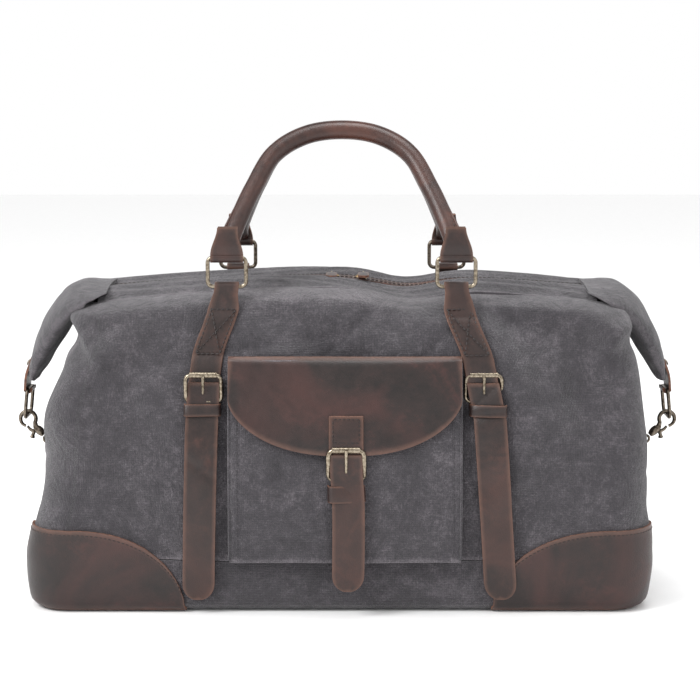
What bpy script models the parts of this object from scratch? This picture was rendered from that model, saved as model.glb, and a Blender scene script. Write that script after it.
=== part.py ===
"""A canvas and leather travel bag: filled canvas body, zipped mouth, strapped front pocket, carry handles.

Metres, +Z up, +X to the right and -Y to the front. The origin is under the middle of the base.
"""

import math

import bmesh
import bpy
import numpy as np

GAP = 0.0004  # clearance between touching pieces
CANVAS = 0.0025  # canvas with its interlining
LEATHER = 0.0022
SEAM_Z = 0.047  # height of the seam between the base and the walls
TOP_Z = 0.281  # height of the shoulder where the mouth lips begin
SLOUCH = 0.0075  # the filled bag stands a little over to the right above its base

# The filled body: half length, half depth and corner radius at rising heights
LEVELS = (0.0, 0.004, 0.012, 0.05, 0.10, 0.15, 0.20, 0.235, 0.268, 0.276, 0.2795, TOP_Z)
HALF_LENGTHS = (0.262, 0.268, 0.273, 0.275, 0.2675, 0.265, 0.257, 0.247, 0.2445, 0.2435, 0.238, 0.2265)
HALF_DEPTHS = (0.104, 0.110, 0.114, 0.117, 0.118, 0.1145, 0.107, 0.100, 0.088, 0.078, 0.067, 0.056)
CORNERS = (0.028, 0.030, 0.032, 0.034, 0.034, 0.032, 0.030, 0.030, 0.028, 0.020, 0.012, 0.004)

MOUTH_HALF = 0.2235  # half length of the two mouth lips
LIP_HINGE_Y = 0.0556
LIP_HINGE_Z = 0.2818
ZIP_HALF_WIDTH = 0.0045
SLIDER_X = 0.011  # the two sliders meet near the middle

STRAP_WIDTH = 0.027
TAIL_WIDTH = 0.028
STRAP_LEVELS = (0.0125, 0.172, 0.20, 0.28)
SIDE_STRAPS = {"left": (-0.1228, -0.1184, -0.117, -0.1077), "right": (0.142, 0.1308, 0.1252, 0.1095)}
BUCKLE_Z = 0.1985
KEEPER_Z = 0.1815
BUCKLE_SIZE = (0.0345, 0.027)
BUCKLE_WIRE = 0.0018

RING_SIZE = (0.037, 0.029)
RING_WIRE = 0.0018
LOOP_WIDTH = 0.021  # leather loops narrow to fit inside the rings
RING_Y = 0.0867
RING_LOW_Z = 0.2845
HANDLE_RADIUS = 0.0078
HANDLE_TOP_Z = 0.4175
HANDLE_X = 0.0025  # middle of the handles
RING_HALF_SPACING = 0.1000

POCKET_X = 0.0055
POCKET_HALF = 0.1005
FLAP_HALF = 0.1010
POCKET_DEPTH = 0.0110
POCKET_TOP_Z = 0.2235
FLAP_TOP_Z = 0.2262
FLAP_SIDE_Z = 0.190
FLAP_LOW_Z = 0.1425
CENTRE_STRAP_X = 0.0065


def material(name, colour, roughness, metallic=0.0):
    made = bpy.data.materials.new(name)
    made.use_nodes = True
    shader = made.node_tree.nodes["Principled BSDF"]
    shader.inputs["Base Color"].default_value = (*colour, 1.0)
    shader.inputs["Roughness"].default_value = roughness
    shader.inputs["Metallic"].default_value = metallic
    return made


def clear_scene():
    for obj in list(bpy.data.objects):
        bpy.data.objects.remove(obj, do_unlink=True)


def add_object(name, points, faces, finish, pivot=(0.0, 0.0, 0.0)):
    """A mesh object whose origin is at the pivot, with its faces turned outwards."""
    mesh = bpy.data.meshes.new(name)
    shifted = np.asarray(points, float).reshape(-1, 3) - np.asarray(pivot, float)
    mesh.from_pydata(shifted.tolist(), [], faces)
    work = bmesh.new()
    work.from_mesh(mesh)
    bmesh.ops.recalc_face_normals(work, faces=work.faces)
    work.to_mesh(mesh)
    work.free()
    mesh.shade_smooth()
    mesh.set_sharp_from_angle(angle=math.radians(35))
    mesh.materials.append(finish)
    obj = bpy.data.objects.new(name, mesh)
    obj.location = pivot
    bpy.context.scene.collection.objects.link(obj)
    return obj


def join_shapes(target, helper):
    """Unites a helper body with the target by a Boolean, and hides the helper."""
    helper.hide_render = True
    helper.display_type = "WIRE"
    union = target.modifiers.new("join_" + helper.name, "BOOLEAN")
    union.operation = "UNION"
    union.object = helper
    union.solver = "EXACT"


def slouch(z):
    """How far the body leans to the right at a height: nothing at the base, all of it from 0.15 m up."""
    return np.interp(z, (0.05, 0.10, 0.15), (0.0, 0.6 * SLOUCH, SLOUCH))


def half_depth(z):
    return np.interp(z, LEVELS, HALF_DEPTHS)


def half_length(z):
    return np.interp(z, LEVELS, HALF_LENGTHS)


def outline(u, z):
    """A point of the rounded rectangle at height z.

    u runs 0 to 8: front, corner, right end, corner, and so on."""
    u = np.mod(u, 8.0)
    length, depth, corner = half_length(z), half_depth(z), np.interp(z, LEVELS, CORNERS)
    side = np.floor(u / 2.0).astype(int)
    along = np.clip(u - 2 * side, 0, 1) * 2 - 1
    turn = np.clip(u - 2 * side - 1, 0, 1) * math.pi / 2
    flat_x, flat_y = length - corner, depth - corner
    half = np.where(side % 2 == 0, flat_x, flat_y)
    out = np.where(side % 2 == 0, flat_y, flat_x)
    a = half * along + corner * np.sin(turn)
    b = -out - corner * np.cos(turn)
    angle = side * math.pi / 2
    x = a * np.cos(angle) - b * np.sin(angle)
    y = a * np.sin(angle) + b * np.cos(angle)
    return np.stack([x + slouch(z), y, z + 0 * x], axis=-1)


def skin(u, z, out=0.0):
    """Points of the filled body moved outwards along its normal."""
    u, z = np.broadcast_arrays(np.asarray(u, float), np.asarray(z, float))
    here = outline(u, z)
    along = outline(u + 1e-3, z) - outline(u - 1e-3, z)
    low = np.maximum(z - 1e-4, 0)
    rise = outline(u, low + 1e-4) - outline(u, low)
    normal = np.cross(along, rise)
    normal /= np.linalg.norm(normal, axis=-1, keepdims=True)
    return here + normal * out


def grid_faces(rows, columns, start=0, wrap=False):
    steps = columns if wrap else columns - 1
    return [
        (
            start + r * columns + c,
            start + r * columns + (c + 1) % columns,
            start + (r + 1) * columns + (c + 1) % columns,
            start + (r + 1) * columns + c,
        )
        for r in range(rows - 1)
        for c in range(steps)
    ]


def slab(name, outer, inner, finish, pivot=(0.0, 0.0, 0.0)):
    """A closed sheet between two grids of points of the same shape."""
    rows, columns = outer.shape[:2]
    count = rows * columns
    faces = grid_faces(rows, columns) + grid_faces(rows, columns, count)
    bottom = list(range(columns))
    top = list(range(count - columns, count))
    left = list(range(0, count, columns))
    right = list(range(columns - 1, count, columns))
    for edge in (bottom, top, left, right):
        faces += [(a, b, b + count, a + count) for a, b in zip(edge, edge[1:])]
    points = np.concatenate([outer.reshape(-1, 3), inner.reshape(-1, 3)])
    return add_object(name, points, faces, finish, pivot)


def stack_of_rings(name, rings, finish, pivot=(0.0, 0.0, 0.0), dip=0.0):
    """A closed body through rings of points, each the same count, capped at both ends by fans.

    dip lowers the middle of the first cap, so that a bag's floor is slightly dished."""
    points = np.stack(rings)
    rows, columns = points.shape[:2]
    faces = grid_faces(rows, columns, wrap=True)
    middles = np.stack([points[0].mean(axis=0), points[-1].mean(axis=0)])
    middles[0, 2] -= dip
    for start, middle in ((0, rows * columns), ((rows - 1) * columns, rows * columns + 1)):
        faces += [(start + c, start + (c + 1) % columns, middle) for c in range(columns)]
    return add_object(name, np.concatenate([points.reshape(-1, 3), middles]), faces, finish, pivot)


def smooth_line(points, count):
    """A Catmull-Rom curve through the points, read at evenly spaced places."""
    p = np.asarray(points, float)
    last = len(p) - 1
    t = np.linspace(0, last, count)
    k = np.minimum(t.astype(int), last - 1)
    f = (t - k)[:, None]
    a, b, c, d = (p[np.clip(k + i, 0, last)] for i in (-1, 0, 1, 2))
    return 0.5 * (2 * b + (c - a) * f + (2 * a - 5 * b + 4 * c - d) * f**2 + (3 * b - a - 3 * c + d) * f**3)


def rod_rings(path, radii, sides, closed=False, flat=None):
    """Rings of points round a path. flat gives each ring's second radius, across the first."""
    path = np.asarray(path, float)
    if closed:
        ahead = np.roll(path, -1, axis=0) - np.roll(path, 1, axis=0)
    else:
        ahead = np.gradient(path, axis=0)
    ahead /= np.linalg.norm(ahead, axis=1, keepdims=True)
    flatness = np.linalg.svd(path - path.mean(axis=0))[2][2]
    across = np.cross(ahead, flatness)
    across /= np.linalg.norm(across, axis=1, keepdims=True)
    up = np.cross(across, ahead)
    angles = np.arange(sides) * 2 * math.pi / sides
    wide = np.broadcast_to(radii, len(path))[:, None, None]
    deep = wide if flat is None else np.asarray(flat)[:, None, None]
    turned = across[:, None, :] * np.cos(angles)[None, :, None] * wide
    return path[:, None, :] + turned + up[:, None, :] * np.sin(angles)[None, :, None] * deep


def rod(name, path, radii, finish, sides=8, pivot=(0.0, 0.0, 0.0), flat=None):
    return stack_of_rings(name, list(rod_rings(path, radii, sides, flat=flat)), finish, pivot)


def closed_rod(name, path, radius, finish, sides=8, pivot=(0.0, 0.0, 0.0)):
    points = rod_rings(path, radius, sides, closed=True)
    rows = len(points)
    faces = grid_faces(rows, sides, wrap=True)
    last = (rows - 1) * sides
    faces += [(last + c, last + (c + 1) % sides, (c + 1) % sides, c) for c in range(sides)]
    return add_object(name, points, faces, finish, pivot)


def rounded_frame(width, height, corner, steps=3):
    """The middle line of a wire bent to a rounded rectangle, in its own plane."""
    points = []
    for k, (sx, sy) in enumerate(((1, 1), (-1, 1), (-1, -1), (1, -1))):
        for step in range(steps + 1):
            angle = math.pi / 2 * (k + step / steps)
            x = sx * (width / 2 - corner) + corner * math.cos(angle)
            y = sy * (height / 2 - corner) + corner * math.sin(angle)
            points.append((x, y))
    return np.array(points)


def band(
    name, line, centre_x, width, thickness, finish, pivot=(0.0, 0.0, 0.0), side=None, rounded_end=False
):
    """A flat strap: a line of (y, z) points given a thickness, and a width along X.

    centre_x holds each point's middle. side turns the strap to lie on the right (1) or left (-1) end wall,
    where the first value of each point is then the distance from the middle of the bag."""
    line = np.asarray(line, float)
    ahead = np.gradient(line, axis=0)
    ahead /= np.linalg.norm(ahead, axis=1, keepdims=True)
    normal = np.stack([ahead[:, 1], -ahead[:, 0]], axis=1)
    faces_yz = (line + normal * thickness / 2, line - normal * thickness / 2)
    middle = np.broadcast_to(centre_x, len(line))
    half = np.broadcast_to(np.asarray(width) / 2, len(line))
    if rounded_end:
        left = np.abs(line[:, 1] - line[-1, 1])
        circle = np.sqrt(np.maximum(width * left - left**2, (0.18 * width) ** 2))
        half = np.minimum(np.where(left < width / 2, circle, half), width / 2)
    grids = []
    for yz in faces_yz:
        columns = []
        for share in (-1.0, 0.0, 1.0):
            a = middle + share * half
            if side is None:
                columns.append(np.stack([a, yz[:, 0], yz[:, 1]], axis=1))
            else:
                columns.append(np.stack([side * yz[:, 0] + slouch(yz[:, 1]), a, yz[:, 1]], axis=1))
        grids.append(np.stack(columns, axis=1))
    return slab(name, grids[0], grids[1], finish, pivot)


def heights_between(low, high):
    """Heights from low to high that include every level where the wall changes its slope."""
    inside = [z for z in LEVELS + (0.075, 0.125, 0.175) if low + 0.002 < z < high - 0.0005]
    return np.array([low] + sorted(inside) + [high])


def front_y(z, out):
    """The y of a place in front of the front wall, out metres clear of it."""
    return -(half_depth(z) + out)


clear_scene()
canvas = material("washed_canvas", (0.12, 0.11, 0.12), 0.85)
base_canvas = material("base_canvas", (0.09, 0.085, 0.09), 0.88)
lining_cloth = material("lining_cloth", (0.03, 0.028, 0.03), 0.8)
leather = material("oiled_leather", (0.055, 0.035, 0.030), 0.5)
tube_leather = material("rolled_leather", (0.065, 0.035, 0.028), 0.45)
brass = material("antique_brass", (0.38, 0.32, 0.24), 0.35, 1.0)
board = material("stiff_board", (0.1, 0.1, 0.1), 0.7)

# Canvas body: a tray-shaped base, four walls, a lining and a stiff board
ROUND = np.concatenate([np.concatenate([[s * 2.0], s * 2 + 1 + np.arange(4) / 4.0]) for s in range(4)])
WALL_LEVELS = heights_between(SEAM_Z + 0.0003, TOP_Z)


def ring_at(z, out):
    return skin(ROUND, np.full(len(ROUND), z), out)


def open_bag(name, low, levels, wall, clearance, finish):
    """A bag shape open at its top: an outer wall, a rim, an inner wall and a floor."""
    inside = [ring_at(z, -clearance - wall) for z in levels]
    floor = inside[0].copy()
    floor[:, 2] = low + wall
    outside = [ring_at(z, -clearance) for z in reversed(levels)]
    sole = ring_at(max(low, 0.0), -clearance)
    sole[:, 2] = low
    return stack_of_rings(name, [floor] + inside + outside + [sole], finish, dip=0.0005)


open_bag("base_tray", 0.0, (0.008, 0.012, 0.03, SEAM_Z - 0.0003), 0.003, 0.0, base_canvas)
open_bag("lining", 0.0075, (0.014, 0.05, 0.10, 0.15, 0.20, 0.235, 0.262), 0.0016, 0.0033, lining_cloth)

BOARD_HALF = (0.250, 0.095)
board_x, board_y = np.meshgrid([-BOARD_HALF[0], BOARD_HALF[0]], [-BOARD_HALF[1], BOARD_HALF[1]])
plate = np.stack([board_x, board_y, np.zeros((2, 2))], axis=-1)
slab("base_board", plate + [0, 0, 0.0070], plate + [0, 0, 0.0034], board)

CORNER_STEPS = np.arange(1, 5) / 4.0
LONG_WALL = np.concatenate([-1 + np.arange(4) / 4.0, np.linspace(0, 1, 9), 1 + CORNER_STEPS])
LONG_WALL[0] += 0.004
LONG_WALL[-1] -= 0.004
SHORT_WALL = np.array([2.0015, 2.25, 2.5, 2.75, 2.9985])
for name, columns in (
    ("front_panel", LONG_WALL),
    ("rear_panel", LONG_WALL + 4),
    ("right_gusset", SHORT_WALL),
    ("left_gusset", SHORT_WALL + 4),
):
    u, z = np.meshgrid(columns, WALL_LEVELS)
    slab(name, skin(u, z), skin(u, z, -CANVAS), canvas)

# Leather corner patches wrap each lower corner, with a quarter-ellipse upper edge
PATCH_FRONT, PATCH_SIDE, PATCH_HEIGHT, PATCH_LOW = 0.105, 0.045, 0.074, 0.007
for name, corner, mirrored in (
    ("patch_front_right", 1, False),
    ("patch_rear_right", 3, True),
    ("patch_rear_left", 5, False),
    ("patch_front_left", 7, True),
):
    long_share = PATCH_FRONT / (2 * (0.275 - 0.034))
    side_share = PATCH_SIDE / (2 * (0.117 - 0.034))
    side_far = np.array([0.35, 0.55, 0.75, 0.88, 0.97])
    front_steps, corner_steps = np.linspace(-long_share, 0, 6), np.linspace(0.25, 1, 4)
    steps = np.concatenate([front_steps, corner_steps, 1 + side_share * side_far])
    far = np.concatenate([np.linspace(-1, -0.02, 6), np.zeros(4), side_far])
    height = (PATCH_HEIGHT - PATCH_LOW) * np.sqrt(1 - np.abs(far * 0.985) ** 2.2)
    if mirrored:
        steps = 1 - steps
    levels = np.array([PATCH_LOW, 0.012, 0.03, 0.05, 0.062, 1.0])[:, None]
    room_above = 0.001 * np.arange(5, -1, -1)[:, None]
    z = np.minimum(levels, PATCH_LOW + height[None, :] - room_above)
    u = np.broadcast_to(corner + steps, z.shape)
    slab(name, skin(u, z, 3 * GAP + 0.0016), skin(u, z, 3 * GAP), leather)

# Mouth: two lips, each with its half of the zip, hinged along the shoulders
for name, sign in (("front", -1), ("rear", 1)):
    pivot = (0.0, sign * LIP_HINGE_Y, LIP_HINGE_Z)
    across = np.array([0.0, 0.3, 0.65, 1.0])
    y = sign * (LIP_HINGE_Y - GAP - across * (LIP_HINGE_Y - ZIP_HALF_WIDTH - 2 * GAP))
    top = 0.2812 + 0.003 * np.sin(across * math.pi)
    x = np.linspace(-MOUTH_HALF, MOUTH_HALF, 7) + SLOUCH
    lip_x, lip_y = np.meshgrid(x, y)
    grid = np.stack([lip_x, lip_y, np.broadcast_to(top[:, None], lip_x.shape)], axis=-1)
    slab(name + "_lip", grid, grid - np.array([0, 0, CANVAS]), canvas, pivot)
    zip_y = sign * np.array([ZIP_HALF_WIDTH, GAP / 2])
    zip_x = np.linspace(-MOUTH_HALF, MOUTH_HALF, 3) + SLOUCH
    tape_x, tape_y = np.meshgrid(zip_x, zip_y)
    grid = np.stack([tape_x, tape_y, np.full(tape_x.shape, 0.2816)], axis=-1)
    slab(name + "_zip", grid, grid - np.array([0, 0, 0.0024]), brass, pivot)

# Two zip sliders, each a top plate with a leather pull hung from its bow
for name, sign in (("left", -1), ("right", 1)):
    middle = SLOUCH + sign * SLIDER_X
    plate = rounded_frame(0.013, 0.0095, 0.003)
    rings = []
    for z, grow in ((0.2822, 1.0), (0.2840, 1.0), (0.2855, 0.6)):
        level = np.full(len(plate), z)
        rings.append(np.stack([middle + plate[:, 0] * grow, plate[:, 1] * grow, level], axis=1))
    stack_of_rings("slider_" + name, rings, brass, (middle, 0.0, 0.2865))
    pull_start = middle + sign * 0.0075
    line = np.array([[-0.0008, 0.2880], [-0.010, 0.2884], [-0.020, 0.2880], [-0.0285, 0.2872]])
    band("zip_pull_" + name, line, pull_start - sign * 0.004, 0.011, 0.0024, leather, (middle, 0.0, 0.2880))

# Front and rear straps: each folds over its ring at the top and runs down the wall
STRAP_OUT = GAP + LEATHER / 2
for side, strap_places in SIDE_STRAPS.items():
    loop_out = RING_WIRE + GAP + LEATHER / 2

    def strap_x(z, places=strap_places):
        """The strap splays outwards on its way down."""
        return np.interp(z, STRAP_LEVELS, places)

    for face, sign in (("front", 1), ("rear", -1)):
        low = 0.150 if face == "front" else 0.060
        heights = heights_between(low, 0.268)
        wall = [(front_y(z, STRAP_OUT), z) for z in heights]
        turn = [
            (-RING_Y - loop_out * math.cos(a), RING_LOW_Z + loop_out * math.sin(a))
            for a in np.linspace(0, 3.4, 8)
        ]
        line = np.array(wall + turn)
        line[:, 0] *= sign
        widths = np.interp(line[:, 1], (0.272, 0.2775), (STRAP_WIDTH, LOOP_WIDTH))
        middles = strap_x(line[:, 1])
        middles[len(heights):] = HANDLE_X + RING_HALF_SPACING * (1 if side == "right" else -1)
        band(f"{face}_strap_{side}", line, middles, widths, LEATHER, leather)

    # Front buckle, its prong and keeper, and the loose tail
    tail_out = GAP * 2 + LEATHER * 1.5
    end_heights = [0.034, 0.027, 0.0215, 0.0175, 0.0145, 0.0125]
    heights = np.append(heights_between(0.04, 0.2035)[::-1], end_heights)
    tail_line = np.array([(front_y(z, tail_out), z) for z in heights])
    tail_pivot = (float(strap_x(KEEPER_Z)), float(front_y(KEEPER_Z, tail_out)), KEEPER_Z)
    tail_x = strap_x(heights)
    band(f"strap_tail_{side}", tail_line, tail_x, TAIL_WIDTH, LEATHER, leather, tail_pivot, rounded_end=True)
    frame_out = tail_out + LEATHER / 2 + GAP + BUCKLE_WIRE
    buckle_x = float(strap_x(BUCKLE_Z))
    flat_frame = rounded_frame(BUCKLE_SIZE[0] - 2 * BUCKLE_WIRE, BUCKLE_SIZE[1] - 2 * BUCKLE_WIRE, 0.004)
    z = BUCKLE_Z + flat_frame[:, 1]
    path = np.stack([buckle_x + flat_frame[:, 0], front_y(z, frame_out), z], axis=1)
    closed_rod(f"buckle_{side}", path, BUCKLE_WIRE, brass)
    bar_z = BUCKLE_Z + BUCKLE_SIZE[1] / 2 - BUCKLE_WIRE
    prong_out = frame_out + BUCKLE_WIRE + GAP + 0.0012
    prong_top = (buckle_x, float(front_y(bar_z, prong_out)), bar_z)
    prong_heights = (bar_z + 0.0008, bar_z, bar_z - 0.008, bar_z - 0.0235)
    prong_path = [(buckle_x, front_y(z, prong_out), z) for z in prong_heights]
    rod(f"prong_{side}", prong_path, np.array([0.0012, 0.0013, 0.0012, 0.0008]), brass, 6, prong_top)
    half = TAIL_WIDTH / 2 + GAP + 0.0018
    keeper_x = np.array([-half, -half, 0.0, half, half])
    outs = np.array([GAP, tail_out + 0.0024, tail_out + 0.0034, tail_out + 0.0024, GAP])
    grids = []
    for shrink in (0.0, 0.0013):
        x = keeper_x - np.sign([-1, -1, 0, 1, 1]) * shrink
        o = outs - np.array([0, 1, 1, 1, 0]) * shrink
        rows = [
            np.stack([strap_x(z) + x, front_y(z, o), np.full(5, z)], axis=1)
            for z in (KEEPER_Z - 0.0065, KEEPER_Z + 0.0035)
        ]
        grids.append(np.stack(rows))
    slab(f"keeper_{side}", grids[0], grids[1], leather)

# Handle rings stand in the straps' loops, and the rolled handles hang on the rings
RING_TOP_Z = RING_LOW_Z + RING_SIZE[1] - 2 * RING_WIRE
for face, sign in (("front", -1), ("rear", 1)):
    ring_pivot = (0.0, sign * RING_Y, RING_LOW_Z)
    for side, where in (("left", -1), ("right", 1)):
        middle = HANDLE_X + where * RING_HALF_SPACING
        flat_ring = rounded_frame(RING_SIZE[0] - 2 * RING_WIRE, RING_SIZE[1] - 2 * RING_WIRE, 0.0045)
        height = (RING_LOW_Z + RING_TOP_Z) / 2
        ring_y = np.full(len(flat_ring), sign * RING_Y)
        path = np.stack([middle + flat_ring[:, 0], ring_y, height + flat_ring[:, 1]], axis=1)
        closed_rod(f"{face}_ring_{side}", path, RING_WIRE, brass, 6, (middle, sign * RING_Y, RING_LOW_Z))

    handle_pivot = (HANDLE_X, sign * RING_Y, RING_TOP_Z)
    eye_out = RING_WIRE + GAP + 0.0022
    rise = HANDLE_TOP_Z - RING_TOP_Z
    half_arch = [(-1.0, 0.03), (-0.995, 0.07), (-0.965, 0.16), (-0.875, 0.335)]
    half_arch += [(-0.775, 0.53), (-0.60, 0.80), (-0.32, 0.955)]
    arch = half_arch + [(0.0, 1.0)] + [(-x, h) for x, h in reversed(half_arch)]
    points = []
    for x, h in arch:
        y = sign * (RING_Y - (RING_Y - HANDLE_RADIUS - GAP) * min(1.0, h * 1.02) ** 0.9)
        points.append((HANDLE_X + x * RING_HALF_SPACING, y, RING_TOP_Z + h * rise))
    path = smooth_line(points, 37)
    ends = np.minimum(np.arange(37), np.arange(37)[::-1])
    wide = np.interp(ends, (0, 3, 7), (0.0100, 0.0092, HANDLE_RADIUS))
    deep = np.interp(ends, (0, 3, 7), (0.0028, 0.0060, HANDLE_RADIUS))
    handle = rod(f"{face}_handle", path, wide, tube_leather, 10, handle_pivot, flat=deep)
    for side, where in (("left", -1), ("right", 1)):
        middle = HANDLE_X + where * RING_HALF_SPACING
        around = np.linspace(0, 2 * math.pi, 13)[:-1]
        outer_ring, inner_ring = [], []
        for x in (middle - LOOP_WIDTH / 2, middle + LOOP_WIDTH / 2):
            for radius, store in ((eye_out + 0.0024, outer_ring), (RING_WIRE + GAP, inner_ring)):
                y = sign * RING_Y + radius * np.cos(around)
                z = RING_TOP_Z + radius * np.sin(around)
                store.append(np.stack([np.full(12, x), y, z], axis=1))
        faces = grid_faces(4, 12, wrap=True)
        faces += [(36 + c, 36 + (c + 1) % 12, (c + 1) % 12, c) for c in range(12)]
        eye_points = np.stack([outer_ring[0], outer_ring[1], inner_ring[1], inner_ring[0]])
        eye = add_object(f"{face}_eye_{side}", eye_points, faces, tube_leather)
        join_shapes(handle, eye)

# Front pocket: a face, two sides and a floor, open at the top under the flap
pocket_z = heights_between(SEAM_Z + 0.0006, POCKET_TOP_Z)
pocket_x = POCKET_X + POCKET_HALF * np.array([-1.0, -1.0, -0.5, 0.0, 0.5, 1.0, 1.0])
pocket_wall = 0.0014
outer, inner = [], []
for z in pocket_z:
    out = np.array([GAP, POCKET_DEPTH, POCKET_DEPTH, POCKET_DEPTH, POCKET_DEPTH, POCKET_DEPTH, GAP])
    outer.append(np.stack([pocket_x, front_y(z, out), np.full(7, z)], axis=1))
    x = pocket_x + pocket_wall * np.array([1, 1, 0, 0, 0, -1, -1])
    out = out - pocket_wall * np.array([0, 1, 1, 1, 1, 1, 0])
    inner.append(np.stack([x, front_y(z, out), np.full(7, z)], axis=1))
pocket = slab("front_pocket", np.stack(outer), np.stack(inner), canvas)
floor_z = np.array([SEAM_Z + 0.0004, SEAM_Z + 0.0022])
floor_x = POCKET_X + (POCKET_HALF - 0.0005) * np.array([-1.0, 1.0])
grids = []
for out in (GAP, POCKET_DEPTH - 0.0004):
    rows = [np.stack([floor_x, np.full(2, front_y(z, out)), np.full(2, z)], axis=1) for z in floor_z]
    grids.append(np.stack(rows))
join_shapes(pocket, slab("pocket_floor", grids[0], grids[1], canvas))

# Leather flap with its tab, buckle, keeper and tail; all of them lift together
FLAP_OUT = POCKET_DEPTH + GAP
FLAP_PIVOT = (POCKET_X, float(front_y(FLAP_TOP_Z, FLAP_OUT)) + 0.001, FLAP_TOP_Z)
share = np.linspace(-1, 1, 15)
low_z = FLAP_SIDE_Z - (FLAP_SIDE_Z - FLAP_LOW_Z) * (1 - np.abs(share) ** 2.4) ** 0.62
rows = np.array([0.0, 0.35, 0.7, 0.85, 1.0])[:, None]
levels = np.array([FLAP_TOP_Z, 0.20, 0.175, 0.15, 0.0])[:, None]
z = np.maximum(levels, FLAP_TOP_Z + rows * (low_z - FLAP_TOP_Z)[None, :])
x = np.broadcast_to(POCKET_X + share * FLAP_HALF, z.shape)
grids = [np.stack([x, front_y(z, FLAP_OUT + out), z], axis=-1) for out in (LEATHER, 0.0)]
slab("pocket_flap", grids[0], grids[1], leather, FLAP_PIVOT)

tab_out = FLAP_OUT + LEATHER + GAP + LEATHER / 2
band(
    "flap_tab", [(front_y(z, tab_out), z) for z in (0.1765, 0.175, 0.165, 0.1535)],
    CENTRE_STRAP_X, STRAP_WIDTH, LEATHER, leather, FLAP_PIVOT,
)
FLAP_BUCKLE_Z, FLAP_KEEPER_Z = 0.1345, 0.1095
end_heights = [0.044, 0.038, 0.032, 0.0285, 0.0255, 0.0235]
heights = np.append(heights_between(0.05, 0.140)[::-1], end_heights)
tail_line = [(front_y(z, tab_out), z) for z in heights]
tail_x = CENTRE_STRAP_X + 0.0012
band("flap_tail", tail_line, tail_x, TAIL_WIDTH, LEATHER, leather, FLAP_PIVOT, rounded_end=True)
frame_out = tab_out + LEATHER / 2 + GAP + BUCKLE_WIRE
flat_frame = rounded_frame(BUCKLE_SIZE[0] - 2 * BUCKLE_WIRE, 0.031 - 2 * BUCKLE_WIRE, 0.005)
z = FLAP_BUCKLE_Z + flat_frame[:, 1]
path = np.stack([CENTRE_STRAP_X + flat_frame[:, 0], front_y(z, frame_out), z], axis=1)
closed_rod("flap_buckle", path, BUCKLE_WIRE, brass, pivot=FLAP_PIVOT)
bar_z = FLAP_BUCKLE_Z + 0.0155 - BUCKLE_WIRE
prong_out = frame_out + BUCKLE_WIRE + GAP + 0.0012
prong_heights = (bar_z + 0.0008, bar_z, bar_z - 0.01, bar_z - 0.027)
prong_path = [(CENTRE_STRAP_X, front_y(z, prong_out), z) for z in prong_heights]
prong_top = (CENTRE_STRAP_X, float(front_y(bar_z, prong_out)), bar_z)
rod("flap_prong", prong_path, np.array([0.0012, 0.0013, 0.0012, 0.0008]), brass, 6, prong_top)
half = TAIL_WIDTH / 2 + GAP + 0.0026
keeper_x = CENTRE_STRAP_X + 0.0006 + np.array([-half, -half, 0.0, half, half])
flap_keeper = [tab_out - 0.0011, tab_out + 0.0026, tab_out + 0.0038, tab_out + 0.0026, tab_out - 0.0011]
grids = []
for shrink in (0.0, 0.0013):
    x = keeper_x - np.sign([-1, -1, 0, 1, 1]) * shrink
    o = np.array(flap_keeper) - np.array([0, 1, 1, 1, 0]) * shrink
    rows = [
        np.stack([x, front_y(z, o), np.full(5, z)], axis=1)
        for z in (FLAP_KEEPER_Z - 0.007, FLAP_KEEPER_Z + 0.007)
    ]
    grids.append(np.stack(rows))
slab("flap_keeper", grids[0], grids[1], leather, FLAP_PIVOT)

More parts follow.
